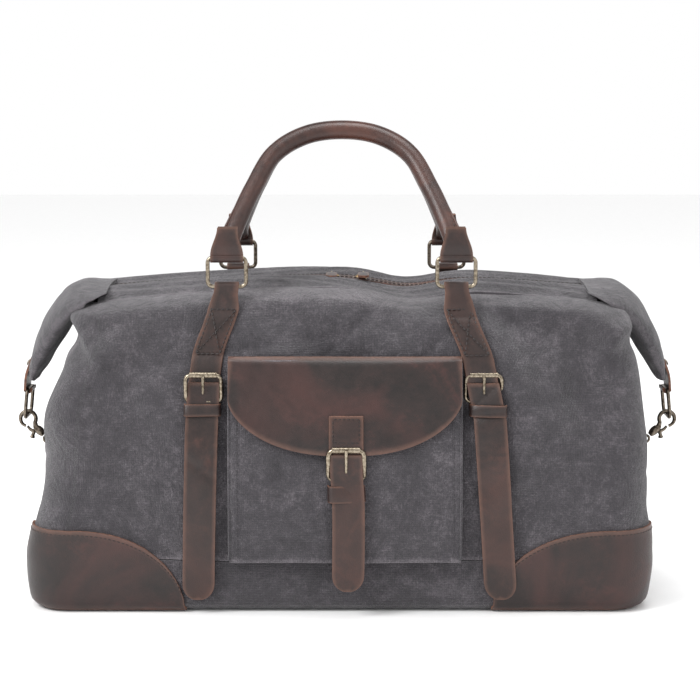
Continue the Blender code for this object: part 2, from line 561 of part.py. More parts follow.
# Ends: the mouth's ends fold down as ears, each held by a snap hook to a ring on the end wall
EAR_LINE = [(0.238, 0.2842), (0.2485, 0.2822), (0.2565, 0.268)]
EAR_LINE += [(0.267, 0.243), (0.278, 0.217), (0.286, 0.193)]
EAR_HALF_WIDTHS = (0.070, 0.072, 0.066, 0.050, 0.034, 0.020)
EAR_THICKNESS = 0.005
EAR_RING_TOP, EAR_RING_LOW = (0.2930, 0.1815), (0.2955, 0.1560)
HOOK_CENTRE = (0.2955, 0.1524)
HOOK_RADIUS, HOOK_WIRE = 0.0071, 0.0015
EYE_CENTRE = (0.2772, 0.1335)
SIDE_RING_BAR = (0.2712, 0.1215)
for side, sign in (("left", -1), ("right", 1)):

    def placed(points, sign=sign):
        """World points from (distance from the middle, y, z)."""
        p = np.asarray(points, float)
        return np.stack([sign * p[..., 0] + slouch(p[..., 2]), p[..., 1], p[..., 2]], axis=-1)

    line = np.array(EAR_LINE)
    ahead = np.gradient(line, axis=0)
    ahead /= np.linalg.norm(ahead, axis=1, keepdims=True)
    normal = np.stack([-ahead[:, 1], ahead[:, 0]], axis=1)
    widths = np.array(EAR_HALF_WIDTHS)[:, None] * np.linspace(-1, 1, 5)[None, :]
    grids = []
    for out in (EAR_THICKNESS / 2, -EAR_THICKNESS / 2):
        moved = line + normal * out
        flat = np.broadcast_to(moved[:, None, :], (6, 5, 2))
        grids.append(placed(np.stack([flat[..., 0], widths, flat[..., 1]], axis=-1)))
    ear_pivot = tuple(placed([0.238, 0.0, 0.2842]))
    slab(side + "_ear", grids[0], grids[1], canvas, ear_pivot)

    loop = 0.0016 + GAP + 0.0009
    tab = [(0.2803, 0.2255), (0.2855, 0.2130), (0.2912, 0.1965)]
    tab += [
        (EAR_RING_TOP[0] + loop * math.cos(a), EAR_RING_TOP[1] + loop * math.sin(a))
        for a in np.linspace(0.6, -3.6, 9)
    ]
    widths = np.interp(np.arange(len(tab)), (0, 2, 3), (0.032, 0.030, 0.021))
    band(side + "_ear_tab", tab, 0.0, widths, 0.0018, leather, ear_pivot, side=sign)

    flat_ring = rounded_frame(0.036, EAR_RING_TOP[1] - EAR_RING_LOW[1], 0.006)
    share = 0.5 - flat_ring[:, 1] / (EAR_RING_TOP[1] - EAR_RING_LOW[1])
    z = EAR_RING_TOP[1] + share * (EAR_RING_LOW[1] - EAR_RING_TOP[1])
    x = EAR_RING_TOP[0] + share * (EAR_RING_LOW[0] - EAR_RING_TOP[0])
    ring_pivot = tuple(placed([EAR_RING_TOP[0], 0.0, EAR_RING_TOP[1]]))
    closed_rod(side + "_ear_ring", placed(np.stack([x, flat_ring[:, 0], z], 1)), 0.0016, brass, 6, ring_pivot)

    # Snap hook: an open bow with a shank, a sprung trigger that shuts the bow, and a swivel eye
    reach = np.array(EYE_CENTRE) - np.array(HOOK_CENTRE)
    heading = math.atan2(reach[1], reach[0])
    turns = np.linspace(heading - math.radians(300), heading - math.radians(18), 15)
    bow = [
        (HOOK_CENTRE[0] + HOOK_RADIUS * math.cos(a), HOOK_CENTRE[1] + HOOK_RADIUS * math.sin(a))
        for a in turns
    ]
    step = reach / np.linalg.norm(reach)
    shank = [tuple(np.array(HOOK_CENTRE) + step * d) for d in (0.0100, 0.0155, 0.0213)]
    hook_path = placed([(x, 0.0, z) for x, z in bow + shank])
    radii = np.concatenate([np.full(15, HOOK_WIRE), [0.0021, 0.0026, 0.0024]])
    hook_pivot = tuple(placed([EAR_RING_LOW[0], 0.0, EAR_RING_LOW[1]]))
    rod(side + "_hook", hook_path, radii, brass, 8, hook_pivot)
    trigger_turn = heading - math.radians(312)
    tip = np.array(HOOK_CENTRE) + 0.0070 * np.array([math.cos(trigger_turn), math.sin(trigger_turn)])
    across = np.array([-step[1], step[0]])
    start = np.array(HOOK_CENTRE) + step * 0.0125 + across * 0.0046
    knob = start + step * 0.0035 + across * 0.0050
    lever = placed([(p[0], 0.0, p[1]) for p in (tip, start, knob)])
    rod(side + "_trigger", lever, np.array([0.0011, 0.0014, 0.0018]), brass, 6, tuple(lever[1]))
    around = np.linspace(0, 2 * math.pi, 13)[:-1]
    eye_centre = np.array([EYE_CENTRE[0], 0.0, EYE_CENTRE[1]])
    eye = eye_centre + 0.0033 * np.stack([np.cos(around), 0 * around, np.sin(around)], axis=1)
    closed_rod(side + "_swivel", placed(eye), 0.0012, brass, 6, tuple(placed(eye_centre)))

    # Ring on the end wall, in a sewn leather tab
    flat_ring = rounded_frame(0.022, 0.0165, 0.005)
    x = np.full(len(flat_ring), SIDE_RING_BAR[0])
    z = SIDE_RING_BAR[1] + 0.00825 + flat_ring[:, 1]
    side_pivot = tuple(placed([SIDE_RING_BAR[0], 0.0, SIDE_RING_BAR[1]]))
    ring_path = placed(np.stack([x, flat_ring[:, 0], z], axis=1))
    closed_rod(side + "_side_ring", ring_path, 0.0013, brass, 6, side_pivot)
    loop = 0.0013 + GAP + 0.0009
    tab = [(float(half_length(z)) + GAP + 0.0010, z) for z in (0.088, 0.100, 0.110)]
    tab += [
        (SIDE_RING_BAR[0] + loop * math.cos(a), SIDE_RING_BAR[1] + loop * math.sin(a))
        for a in np.linspace(3.14, -0.6, 8)
    ]
    band(side + "_side_tab", tab, 0.0, 0.014, 0.0018, leather, side=sign)
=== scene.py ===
# %% [markdown]
# # A canvas and leather travel bag
# The CAD model fixes where every piece is. This file gives each piece its real surface: washed canvas that
# sags and wrinkles, waxed leather with pale cut edges, stitching, and antique metal fittings.

import math

import bmesh
import bpy
import numpy as np
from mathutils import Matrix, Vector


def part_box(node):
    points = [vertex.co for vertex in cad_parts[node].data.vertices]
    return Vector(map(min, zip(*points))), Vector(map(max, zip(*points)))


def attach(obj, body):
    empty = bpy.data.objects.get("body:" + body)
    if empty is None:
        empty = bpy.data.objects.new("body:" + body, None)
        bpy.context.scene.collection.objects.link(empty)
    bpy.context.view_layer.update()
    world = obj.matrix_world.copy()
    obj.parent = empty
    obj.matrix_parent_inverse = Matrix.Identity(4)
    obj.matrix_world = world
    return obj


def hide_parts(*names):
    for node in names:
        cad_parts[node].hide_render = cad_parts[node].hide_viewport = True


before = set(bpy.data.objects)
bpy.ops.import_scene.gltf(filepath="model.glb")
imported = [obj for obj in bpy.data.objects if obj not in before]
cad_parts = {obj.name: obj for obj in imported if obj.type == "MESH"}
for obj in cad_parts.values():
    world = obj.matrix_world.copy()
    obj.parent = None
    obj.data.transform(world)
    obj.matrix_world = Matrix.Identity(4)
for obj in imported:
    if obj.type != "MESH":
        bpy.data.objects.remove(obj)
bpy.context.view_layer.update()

# %% [markdown]
# ## Small tools
# Shapes are grids of points worked out by numpy. A grid becomes a mesh in one call. Leather and canvas are
# sheets with a real thickness, so a sheet is two grids joined round their edges; the edge faces get a second
# material, because cut leather shows a pale raw edge.


# %% Mesh helpers
SHARP_TURN = math.radians(40)


def smooth(edge0, edge1, value):
    """0 below edge0, 1 above edge1, and the cubic 3t^2 - 2t^3 between them."""
    t = np.clip((np.asarray(value, float) - edge0) / (edge1 - edge0), 0, 1)
    return t * t * (3 - 2 * t)


def curve_through(points, count):
    """Catmull-Rom: a cubic through each pair of points, with the slope of their neighbours."""
    p = np.asarray(points, float)
    return curve_at(p, np.linspace(0, len(p) - 1, count))


def curve_at(p, t):
    """The same curve read at any places t, counted in points."""
    k = np.minimum(t.astype(int), len(p) - 2)
    f = (t - k)[..., None]
    a, b, c, d = (p[np.clip(k + i, 0, len(p) - 1)] for i in (-1, 0, 1, 2))
    return 0.5 * (2 * b + (c - a) * f + (2 * a - 5 * b + 4 * c - d) * f**2 + (3 * b - a - 3 * c + d) * f**3)


def grid_quads(rows, columns, start=0, wrap=False):
    """Corner numbers of every quad of a grid, as one array."""
    r = np.arange(rows - 1)[:, None]
    c = np.arange(columns if wrap else columns - 1)[None, :]
    n = (c + 1) % columns
    low, high = r * columns, (r + 1) * columns
    quads = np.stack([low + c, low + n, high + n, high + c], axis=-1)
    return start + quads.reshape(-1, 4)


def make_piece(name, points, quads, finishes, slots=None, uv=None, wear=None, caps=()):
    """A mesh object at the origin from an array of points and of quads, faces turned outwards."""
    mesh = bpy.data.meshes.new(name)
    faces = [tuple(int(v) for v in q) for q in quads] + [tuple(int(v) for v in cap) for cap in caps]
    mesh.from_pydata(np.asarray(points, float).reshape(-1, 3).tolist(), [], faces)
    for finish in finishes:
        mesh.materials.append(finish)
    if slots is not None:
        mesh.polygons.foreach_set("material_index", np.asarray(slots, np.int32))
    if uv is not None:
        layer = mesh.uv_layers.new(name="cloth")
        corner = np.empty(len(mesh.loops), np.int32)
        mesh.loops.foreach_get("vertex_index", corner)
        layer.data.foreach_set("uv", np.asarray(uv, np.float32).reshape(-1, 2)[corner].ravel())
    if wear is not None:
        layer = mesh.attributes.new("wear", "FLOAT", "POINT")
        layer.data.foreach_set("value", np.asarray(wear, np.float32).ravel())
    work = bmesh.new()
    work.from_mesh(mesh)
    bmesh.ops.recalc_face_normals(work, faces=work.faces)
    work.to_mesh(mesh)
    work.free()
    mesh.shade_smooth()
    mesh.set_sharp_from_angle(angle=SHARP_TURN)
    obj = bpy.data.objects.new(name, mesh)
    bpy.context.scene.collection.objects.link(obj)
    return obj


def round_edges(obj, width, segments=2):
    """A Bevel that rounds only the sheet's own edges, which turn by more than SHARP_TURN."""
    bevel = obj.modifiers.new("round_edges", "BEVEL")
    bevel.width = width
    bevel.segments = segments
    bevel.limit_method = "ANGLE"
    bevel.angle_limit = SHARP_TURN
    return obj


def lengths_along(points, axis):
    """Distance along the rows or columns of a grid, as the running sum of the steps."""
    steps = np.linalg.norm(np.diff(points, axis=axis), axis=-1)
    start = np.zeros_like(np.take(steps, [0], axis=axis))
    return np.cumsum(np.concatenate([start, steps], axis=axis), axis=axis)


def edge_distance(points):
    """How far each grid point is from the nearest edge of the sheet, in metres."""
    across, along = lengths_along(points, 1), lengths_along(points, 0)
    side = np.minimum(across, across[:, -1:] - across)
    end = np.minimum(along, along[-1:] - along)
    return np.minimum(side, end)


def sheet(name, outer, inner, finishes, rounding=0.0005, wear_width=0.004):
    """A closed sheet between two grids. The rim takes the last finish, and wear fades in from the edges."""
    rows, columns = outer.shape[:2]
    count = rows * columns
    index = np.arange(count).reshape(rows, columns)
    rims = []
    for line in (index[0], index[-1], index[:, 0], index[:, -1]):
        rims.append(np.stack([line[:-1], line[1:], line[1:] + count, line[:-1] + count], axis=1))
    rims = np.concatenate(rims)
    quads = np.concatenate([grid_quads(rows, columns), grid_quads(rows, columns, count), rims])
    slots = np.zeros(len(quads), np.int32)
    slots[-len(rims):] = 1 if len(finishes) > 1 else 0
    flat = np.stack([lengths_along(outer, 1), lengths_along(outer, 0)], axis=-1)
    worn = 1 - smooth(0, wear_width, edge_distance(outer))
    points = np.concatenate([outer.reshape(-1, 3), inner.reshape(-1, 3)])
    both = np.concatenate([flat.reshape(-1, 2)] * 2)
    obj = make_piece(name, points, quads, finishes, slots, both, np.concatenate([worn.ravel()] * 2))
    return round_edges(obj, rounding) if rounding else obj


def tube_rings(path, radii, sides, closed=False, flat=None, across_hint=None):
    """Circles along a path: centre + across cos a + up sin a. flat is the radius along up, if not round."""
    path = np.asarray(path, float)
    ahead = np.roll(path, -1, 0) - np.roll(path, 1, 0) if closed else np.gradient(path, axis=0)
    ahead = ahead / np.linalg.norm(ahead, axis=1, keepdims=True)
    if across_hint is None:
        across_hint = np.linalg.svd(path - path.mean(axis=0))[2][2]
    across = np.cross(ahead, np.asarray(across_hint, float))
    across /= np.linalg.norm(across, axis=1, keepdims=True)
    up = np.cross(across, ahead)
    a = (np.arange(sides) * 2 * math.pi / sides)[None, :, None]
    wide = np.broadcast_to(radii, len(path))[:, None, None]
    deep = wide if flat is None else np.broadcast_to(flat, len(path))[:, None, None]
    return path[:, None] + across[:, None] * np.cos(a) * wide + up[:, None] * np.sin(a) * deep


def tube(name, path, radii, finishes, sides=14, closed=False, flat=None, across_hint=None):
    """A round bar or roll. An open one is capped at both ends."""
    rings = tube_rings(path, radii, sides, closed, flat, across_hint)
    rows = len(rings)
    quads = grid_quads(rows, sides, wrap=True)
    caps = ()
    if closed:
        c = np.arange(sides)
        last = (rows - 1) * sides
        n = (c + 1) % sides
        quads = np.concatenate([quads, np.stack([last + c, last + n, n, c], axis=1)])
    else:
        caps = (range(sides), range((rows - 1) * sides, rows * sides))
    around = np.broadcast_to(np.arange(sides)[None, :] * np.mean(radii) * 2 * math.pi / sides, (rows, sides))
    along = np.broadcast_to(lengths_along(rings, 0)[:, :1], (rows, sides))
    uv = np.stack([around, along], axis=-1)
    return make_piece(name, rings, quads, finishes, uv=uv, wear=np.zeros(rows * sides), caps=caps)


def rounded_outline(width, height, corner, steps=5):
    """A rounded rectangle as four quarter circles, counter-clockwise."""
    turn = np.concatenate([np.linspace(k, k + 1, steps + 1) for k in range(4)]) * math.pi / 2
    sx = np.repeat([1, -1, -1, 1], steps + 1)
    sy = np.repeat([1, 1, -1, -1], steps + 1)
    x = sx * (width / 2 - corner) + corner * np.cos(turn)
    y = sy * (height / 2 - corner) + corner * np.sin(turn)
    return np.stack([x, y], axis=1)


def resampled(places, run, values):
    """Each column of values, read at new distances along the run."""
    return np.stack([np.interp(places, run, values[:, i]) for i in range(3)], axis=1)


def stitches(name, path, normal, finish, pitch=0.0042, length=0.0030, radius=0.00042, lift=0.0001):
    """A row of threads: one short lens-shaped bar each pitch along the path, all in one mesh."""
    rings, sides = 4, 5
    path = np.asarray(path, float)
    run = lengths_along(path[:, None, :], 0)[:, 0]
    places = np.arange(pitch / 2, run[-1], pitch)
    centre = resampled(places, run, path)
    up = resampled(places, run, np.broadcast_to(normal, path.shape))
    spread = run + 1e-9 * np.arange(len(run))
    ahead = resampled(places, run, np.gradient(path, spread, axis=0))
    up /= np.linalg.norm(up, axis=1, keepdims=True)
    ahead /= np.linalg.norm(ahead, axis=1, keepdims=True)
    side = np.cross(ahead, up)
    s = (np.array([-0.5, -0.32, 0.32, 0.5]) * length)[None, :, None, None]
    r = (np.array([0.25, 1.0, 1.0, 0.25]) * radius)[None, :, None, None]
    a = (np.arange(sides) * 2 * math.pi / sides)[None, None, :, None]
    ring = side[:, None, None] * np.cos(a) + up[:, None, None] * np.sin(a)
    points = centre[:, None, None] + ahead[:, None, None] * s + ring * r + up[:, None, None] * lift
    first = rings * sides * np.arange(len(centre))
    quads = (grid_quads(rings, sides, wrap=True)[None] + first[:, None, None]).reshape(-1, 4)
    caps = [tuple(k + np.arange(sides)) for k in first]
    caps += [tuple(k + (rings - 1) * sides + np.arange(sides)) for k in first]
    return make_piece(name, points, quads, [finish], caps=caps)


# %% [markdown]
# ## Finishes
# Every colour is an sRGB hex value turned to linear by one function. The canvas is cotton that was dyed and
# then washed: two sets of threads cross, the high places have lost dye, and large pale clouds remain.


# %% Material helpers
def linear(hex_colour):
    """sRGB to linear: v/12.92 below 0.04045, else ((v + 0.055)/1.055)^2.4."""
    v = np.array([int(hex_colour[i:i + 2], 16) for i in (1, 3, 5)]) / 255
    v = np.where(v < 0.04045, v / 12.92, ((v + 0.055) / 1.055) ** 2.4)
    return (*[float(c) for c in v], 1.0)


def add_node(tree, kind, settings=None, inputs=None):
    """Adds a node, sets its properties, and links or sets its inputs by name or number."""
    made = tree.nodes.new(kind)
    for key, value in (settings or {}).items():
        setattr(made, key, value)
    for key, value in (inputs or {}).items():
        if isinstance(value, bpy.types.NodeSocket):
            tree.links.new(value, made.inputs[key])
        else:
            made.inputs[key].default_value = value
    return made


def new_finish(name):
    """A material with its node tree and its Principled shader."""
    made = bpy.data.materials.new(name)
    made.use_nodes = True
    return made, made.node_tree, made.node_tree.nodes["Principled BSDF"]


def ramp(tree, factor, stops):
    """A colour ramp from (position, colour) pairs."""
    made = add_node(tree, "ShaderNodeValToRGB", inputs={"Fac": factor})
    elements = made.color_ramp.elements
    for place, colour in zip(elements, stops[:2]):
        place.position, place.color = colour
    for position, colour in stops[2:]:
        elements.new(position).color = colour
    return made.outputs["Color"]


def mix(tree, factor, a, b):
    """Colour a turned into colour b by the factor."""
    return add_node(tree, "ShaderNodeMix", {"data_type": "RGBA"}, {0: factor, 6: a, 7: b}).outputs[2]


def maths(tree, operation, a, b=0.0, c=0.0):
    """One Math node."""
    return add_node(tree, "ShaderNodeMath", {"operation": operation}, {0: a, 1: b, 2: c}).outputs[0]


def weighted(tree, *pairs):
    """The sum of each value times its weight."""
    total = maths(tree, "MULTIPLY", *pairs[0])
    for pair in pairs[1:]:
        total = maths(tree, "ADD", total, maths(tree, "MULTIPLY", *pair))
    return total


def noise(tree, where, scale, detail=4.0, rough=0.55, distortion=0.0):
    """Fractal noise, with its scale in waves per metre."""
    inputs = {"Vector": where, "Scale": scale, "Detail": detail, "Roughness": rough, "Distortion": distortion}
    return add_node(tree, "ShaderNodeTexNoise", inputs=inputs).outputs["Fac"]


def stretched(tree, where, factors):
    """Coordinates scaled by a factor on each axis, which draws a noise out into streaks."""
    return add_node(tree, "ShaderNodeMapping", inputs={"Vector": where, "Scale": factors}).outputs[0]


def object_place(tree):
    """The point's own coordinates in metres."""
    return add_node(tree, "ShaderNodeTexCoord").outputs["Object"]


def worn_places(tree):
    """The wear that the mesh carries: 1 at rubbed edges, 0 elsewhere."""
    return add_node(tree, "ShaderNodeAttribute", {"attribute_name": "wear"}).outputs["Fac"]


def add_bump(tree, shader, height, strength, distance, **under):
    """Bump from a height; distance is its full depth in metres."""
    inputs = {"Height": height, "Strength": strength, "Distance": distance, **under}
    normal = add_node(tree, "ShaderNodeBump", inputs=inputs).outputs["Normal"]
    tree.links.new(normal, shader.inputs["Normal"])
    return normal


def woven(name, colours, thread=0.0016, bump=0.0006, pale_edges=0.5):
    """Plain-weave cloth. thread is the pitch in metres, drawn about twice the real one so that it shows."""
    made, tree, shader = new_finish(name)
    dark, middle, pale = (linear(colour) for colour in colours)
    uv = add_node(tree, "ShaderNodeUVMap", {"uv_map": "cloth"}).outputs["UV"]
    place = object_place(tree)
    threads = []
    for direction in ("X", "Y"):
        inputs = {"Vector": uv, "Scale": 1 / thread / math.pi, "Distortion": 1.2}
        inputs |= {"Detail": 2.0, "Detail Scale": 0.35}
        settings = {"wave_type": "BANDS", "bands_direction": direction}
        threads.append(add_node(tree, "ShaderNodeTexWave", settings, inputs).outputs["Fac"])
    weave = maths(tree, "MULTIPLY", maths(tree, "ADD", threads[0], threads[1]), 0.5)
    slub = noise(tree, stretched(tree, uv, (1.0, 0.12, 1.0)), 900.0, 2.0)
    slub_other = noise(tree, stretched(tree, uv, (0.12, 1.0, 1.0)), 900.0, 2.0)
    clouds = noise(tree, place, 13.0, 6.0, 0.65, 1.2)
    blotch = noise(tree, place, 85.0, 5.0, 0.7)
    fuzz = noise(tree, place, 620.0, 2.0, 0.7)
    creases = noise(tree, place, 26.0, 8.0, 0.75, 3.0)
    fold_lines = ramp(tree, creases, [(0.475, (0, 0, 0, 1)), (0.5, (1, 1, 1, 1)), (0.525, (0, 0, 0, 1))])
    slubs = maths(tree, "ADD", slub, slub_other)
    tone = weighted(tree, (clouds, 0.30), (blotch, 0.36), (fuzz, 0.34), (fold_lines, 0.07), (slubs, 0.10),
                    (worn_places(tree), pale_edges * 0.3))
    colour = ramp(tree, tone, [(0.40, dark), (0.62, middle), (0.88, pale)])
    colour = mix(tree, maths(tree, "MULTIPLY", maths(tree, "SUBTRACT", 1.0, weave), 0.35), colour, dark)
    tree.links.new(colour, shader.inputs["Base Color"])
    dull = {"Roughness": 0.92, "Specular IOR Level": 0.25, "Sheen Weight": 0.25, "Sheen Roughness": 0.5}
    for key, value in dull.items():
        shader.inputs[key].default_value = value
    rumple = add_bump(tree, shader, creases, 0.55, 0.010)
    height = weighted(tree, (weave, 0.6), (maths(tree, "ADD", slub, fuzz), 0.35))
    add_bump(tree, shader, height, 0.7, bump, Normal=rumple)
    return made


def waxed_leather(name, colours, rough=0.46, edge=0.55):
    """Pull-up leather: wax makes it dark, and it turns redder and paler where it is bent or rubbed."""
    made, tree, shader = new_finish(name)
    dark, middle, red, pale = (linear(colour) for colour in colours)
    place = object_place(tree)
    clouds = noise(tree, place, 22.0, 5.0, 0.6, 0.8)
    patches = noise(tree, place, 9.0, 3.0, 0.5, 1.5)
    rubs = noise(tree, place, 120.0, 6.0, 0.7, 0.4)
    cells = add_node(tree, "ShaderNodeTexVoronoi", {"feature": "F1"}, {"Vector": place, "Scale": 900.0})
    pores = noise(tree, place, 1500.0, 2.0, 0.6)
    tone = weighted(tree, (clouds, 0.6), (rubs, 0.4))
    colour = ramp(tree, tone, [(0.36, dark), (0.54, middle), (0.74, red)])
    reddened = ramp(tree, patches, [(0.50, (0, 0, 0, 1)), (0.72, (0.65, 0.65, 0.65, 1))])
    colour = mix(tree, reddened, colour, red)
    worn = maths(tree, "MULTIPLY", worn_places(tree), edge)
    rubbed = maths(tree, "MULTIPLY", worn, maths(tree, "ADD", rubs, 0.35))
    tree.links.new(mix(tree, rubbed, colour, pale), shader.inputs["Base Color"])
    gloss = maths(tree, "MULTIPLY_ADD", rubs, 0.30, rough - 0.14)
    tree.links.new(gloss, shader.inputs["Roughness"])
    shader.inputs["Specular IOR Level"].default_value = 0.45
    height = weighted(tree, (cells.outputs["Distance"], 0.5), (pores, 0.5), (rubs, 0.8))
    add_bump(tree, shader, height, 0.35, 0.0006)
    return made


def cut_edge(name, dark, pale):
    """Cut leather edge: pale fibres, darker where finger grease has soaked in."""
    made, tree, shader = new_finish(name)
    fibre = noise(tree, object_place(tree), 260.0, 5.0, 0.7)
    colour = ramp(tree, fibre, [(0.35, linear(dark)), (0.65, linear(pale))])
    tree.links.new(colour, shader.inputs["Base Color"])
    shader.inputs["Roughness"].default_value = 0.8
    add_bump(tree, shader, fibre, 0.5, 0.0004)
    return made


def old_metal(name, pale, dark, rough=0.32):
    """Plated metal aged by dipping: bright where it is rubbed, brown in the hollows, finely brushed."""
    made, tree, shader = new_finish(name)
    place = object_place(tree)
    tarnish = noise(tree, place, 420.0, 3.0, 0.6, 0.3)
    scratches = noise(tree, stretched(tree, place, (1, 1, 8)), 700.0, 2.0)
    colour = ramp(tree, tarnish, [(0.38, linear(dark)), (0.60, linear(pale))])
    tree.links.new(colour, shader.inputs["Base Color"])
    shader.inputs["Metallic"].default_value = 1.0
    gloss = maths(tree, "MULTIPLY_ADD", maths(tree, "ADD", tarnish, scratches), 0.16, rough - 0.12)
    tree.links.new(gloss, shader.inputs["Roughness"])
    add_bump(tree, shader, scratches, 0.04, 0.0002)
    return made


def waxed_thread(name, colour, shade):
    """Twisted polyester thread, waxed: fine strands."""
    made, tree, shader = new_finish(name)
    strand = noise(tree, object_place(tree), 1100.0, 2.0)
    twist = ramp(tree, strand, [(0.4, linear(shade)), (0.6, linear(colour))])
    tree.links.new(twist, shader.inputs["Base Color"])
    shader.inputs["Roughness"].default_value = 0.6
    return made


# %% The bag's own finishes
# Charcoal cotton canvas, washed after dyeing; the base band is the same canvas, painted slightly darker as
# shade on the low band
washed_canvas = woven("washed_canvas", ("#29272a", "#434044", "#7a7479"))
base_cloth_painted_shade = woven("washed_canvas_base_painted_shade", ("#282629", "#423f43", "#777176"))
# Black twill inside, unworn
lining_cloth = woven("twill_lining", ("#141316", "#1d1b1f", "#2a282c"), thread=0.0010, pale_edges=0.1)
# Waxed cowhide: flap and patches, then straps, then the handles, which hands have polished
dark_leather = waxed_leather("waxed_leather", ("#140e0d", "#241816", "#422622", "#6e5044"), 0.40)
strap_leather = waxed_leather("waxed_strap_leather", ("#170f0e", "#291b18", "#462b24", "#6e4e40"), 0.42)
handle_leather = waxed_leather("rolled_handle_leather", ("#20120f", "#3a231d", "#5e382c", "#86604d"), 0.36)
# The raw side of the same leather, where it was cut
raw_edge = cut_edge("cut_leather_edge", "#452b22", "#845c4a")
# Antique brass plate on the front fittings, a blacker dip on the end fittings, the same blacker metal on the
# rear handle rings as painted shade, and bare brass zip teeth
antique_metal = old_metal("antique_brass_plate", "#a09584", "#6d6253", 0.26)
end_metal_and_rear_ring_shade = old_metal("blackened_brass_and_rear_ring_shade", "#7d7367", "#463e36", 0.30)
zip_metal = old_metal("brass_zip_teeth", "#a58c68", "#4b3d2c", 0.35)
# Waxed thread on the leather, and plain grey thread on the canvas
thread_brown = waxed_thread("waxed_thread", "#2b2120", "#171211")
thread_grey = waxed_thread("grey_thread", "#4a464a", "#2a282b")
# Grey pressed board for the base
stiff_board = cut_edge("pressed_board", "#1a1a1a", "#2b2b2b")
leather_sheet = [dark_leather, raw_edge]
strap_sheet = [strap_leather, raw_edge]

# %% [markdown]
# ## Camera, light and floor
# A long lens a little above the bag, a pale floor, and light from all round, as in a white studio.

# %% Studio
VIEW_HEIGHT = math.radians(8.0)
VIEW_TARGET = np.array([0.0098, -0.10, 0.2305])
VIEW_DISTANCE = 1.690
scene = bpy.context.scene
camera_data = bpy.data.cameras.new("camera")
camera_data.lens = 100.0
camera = bpy.data.objects.new("camera", camera_data)
backwards = np.array([0.0, -math.cos(VIEW_HEIGHT), math.sin(VIEW_HEIGHT)])
camera.location = VIEW_TARGET + VIEW_DISTANCE * backwards
camera.rotation_euler = (math.pi / 2 - VIEW_HEIGHT, 0.0, 0.0)
scene.collection.objects.link(camera)
scene.camera = camera

world = bpy.data.worlds.new("studio")
world.use_nodes = True
world.node_tree.nodes["Background"].inputs["Color"].default_value = (1.0, 1.0, 1.0, 1.0)
world.node_tree.nodes["Background"].inputs["Strength"].default_value = 1.0
scene.world = world
scene.view_settings.view_transform = "Standard"


def add_light(name, place, aim, size, power):
    """A square soft light at a place, turned to aim at a point."""
    data = bpy.data.lights.new(name, "AREA")
    data.size = size
    data.energy = power
    lamp = bpy.data.objects.new(name, data)
    lamp.location = place
    direction = np.array(aim) - np.array(place)
    yaw = math.atan2(direction[0], -direction[1])
    tilt = math.atan2(math.hypot(direction[0], direction[1]), -direction[2])
    lamp.rotation_euler = (tilt, 0.0, yaw + math.pi)
    scene.collection.objects.link(lamp)


add_light("key_light", (-1.5, -1.1, 1.7), (0, 0, 0.15), 0.9, 44.0)
add_light("top_light", (0.2, 0.3, 2.2), (0, 0, 0.1), 1.2, 26.0)
add_light("fill_light", (1.6, -1.2, 0.9), (0, 0, 0.15), 1.2, 5.0)

floor_finish, floor_tree, floor_shader = new_finish("white_paper_floor")
floor_grain = noise(floor_tree, object_place(floor_tree), 40.0, 3.0)
paper = ramp(floor_tree, floor_grain, [(0.0, linear("#f4f4f4")), (1.0, linear("#fafafa"))])
floor_tree.links.new(paper, floor_shader.inputs["Base Color"])
floor_shader.inputs["Roughness"].default_value = 0.7
FLOOR_REACH, FLOOR_Z = 6.0, -0.0006
floor_x, floor_y = np.meshgrid([-FLOOR_REACH, FLOOR_REACH], [-FLOOR_REACH, FLOOR_REACH])
floor_points = np.stack([floor_x, floor_y, np.full((2, 2), FLOOR_Z)], -1)
floor = make_piece("floor", floor_points, grid_quads(2, 2), [floor_finish])

# %% [markdown]
# ## The filled body
# The canvas body is a loft: at each height a rounded rectangle, whose half length, half depth and corner
# radius come from the same levels as the CAD walls. A smooth curve joins the levels, and the cloth then gets
# dents and folds. They are a function of place, so a strap on the wall can ask for the same dents.

# %% Levels and wrinkles
LEVELS = np.array([0.0, 0.004, 0.012, 0.05, 0.10, 0.15, 0.20, 0.235, 0.268, 0.276, 0.2795, 0.281])
LENGTHS = np.array([0.262, 0.268, 0.273, 0.275, 0.2675, 0.265, 0.257, 0.247, 0.2445, 0.2435, 0.238, 0.2265])
DEPTHS = np.array([0.104, 0.110, 0.114, 0.117, 0.118, 0.1145, 0.107, 0.100, 0.088, 0.078, 0.067, 0.056])
CORNERS = np.array([0.028, 0.030, 0.032, 0.034, 0.034, 0.032, 0.030, 0.030, 0.028, 0.020, 0.012, 0.004])
PROFILE = np.stack([LEVELS, LENGTHS, DEPTHS, CORNERS], axis=1)
LAST_LEVEL = len(LEVELS) - 1.0
SEAM_Z, SLOUCH = 0.047, 0.0075
fine_t = np.linspace(0, LAST_LEVEL, 1200)
fine_profile = curve_at(PROFILE, fine_t)
WAVES = 12
draws = np.random.default_rng(11)
WAVE_LENGTHS = np.geomspace(0.22, 0.045, WAVES)
WAVE_HEADINGS = draws.uniform(0, 2 * math.pi, WAVES)
WAVE_PHASES = draws.uniform(0, 2 * math.pi, WAVES)
DENT_DEPTH = 1.45
# Each front fold runs from x at the top to x, z at its low end
SHOULDERS = ((-0.243, -0.200, 0.205), (0.252, 0.226, 0.212))


def slouch(z):
    """The filled bag leans right as it rises."""
    return np.interp(z, (0.05, 0.10, 0.15), (0.0, 0.6 * SLOUCH, SLOUCH))


def top_drop(x):
    """How far the soft top sags: a hollow right of the middle, and a fall towards both ends."""
    return 0.010 * np.exp(-(((x - 0.062) / 0.035) ** 2)) + 0.011 * np.abs((x - SLOUCH) / 0.2) ** 2


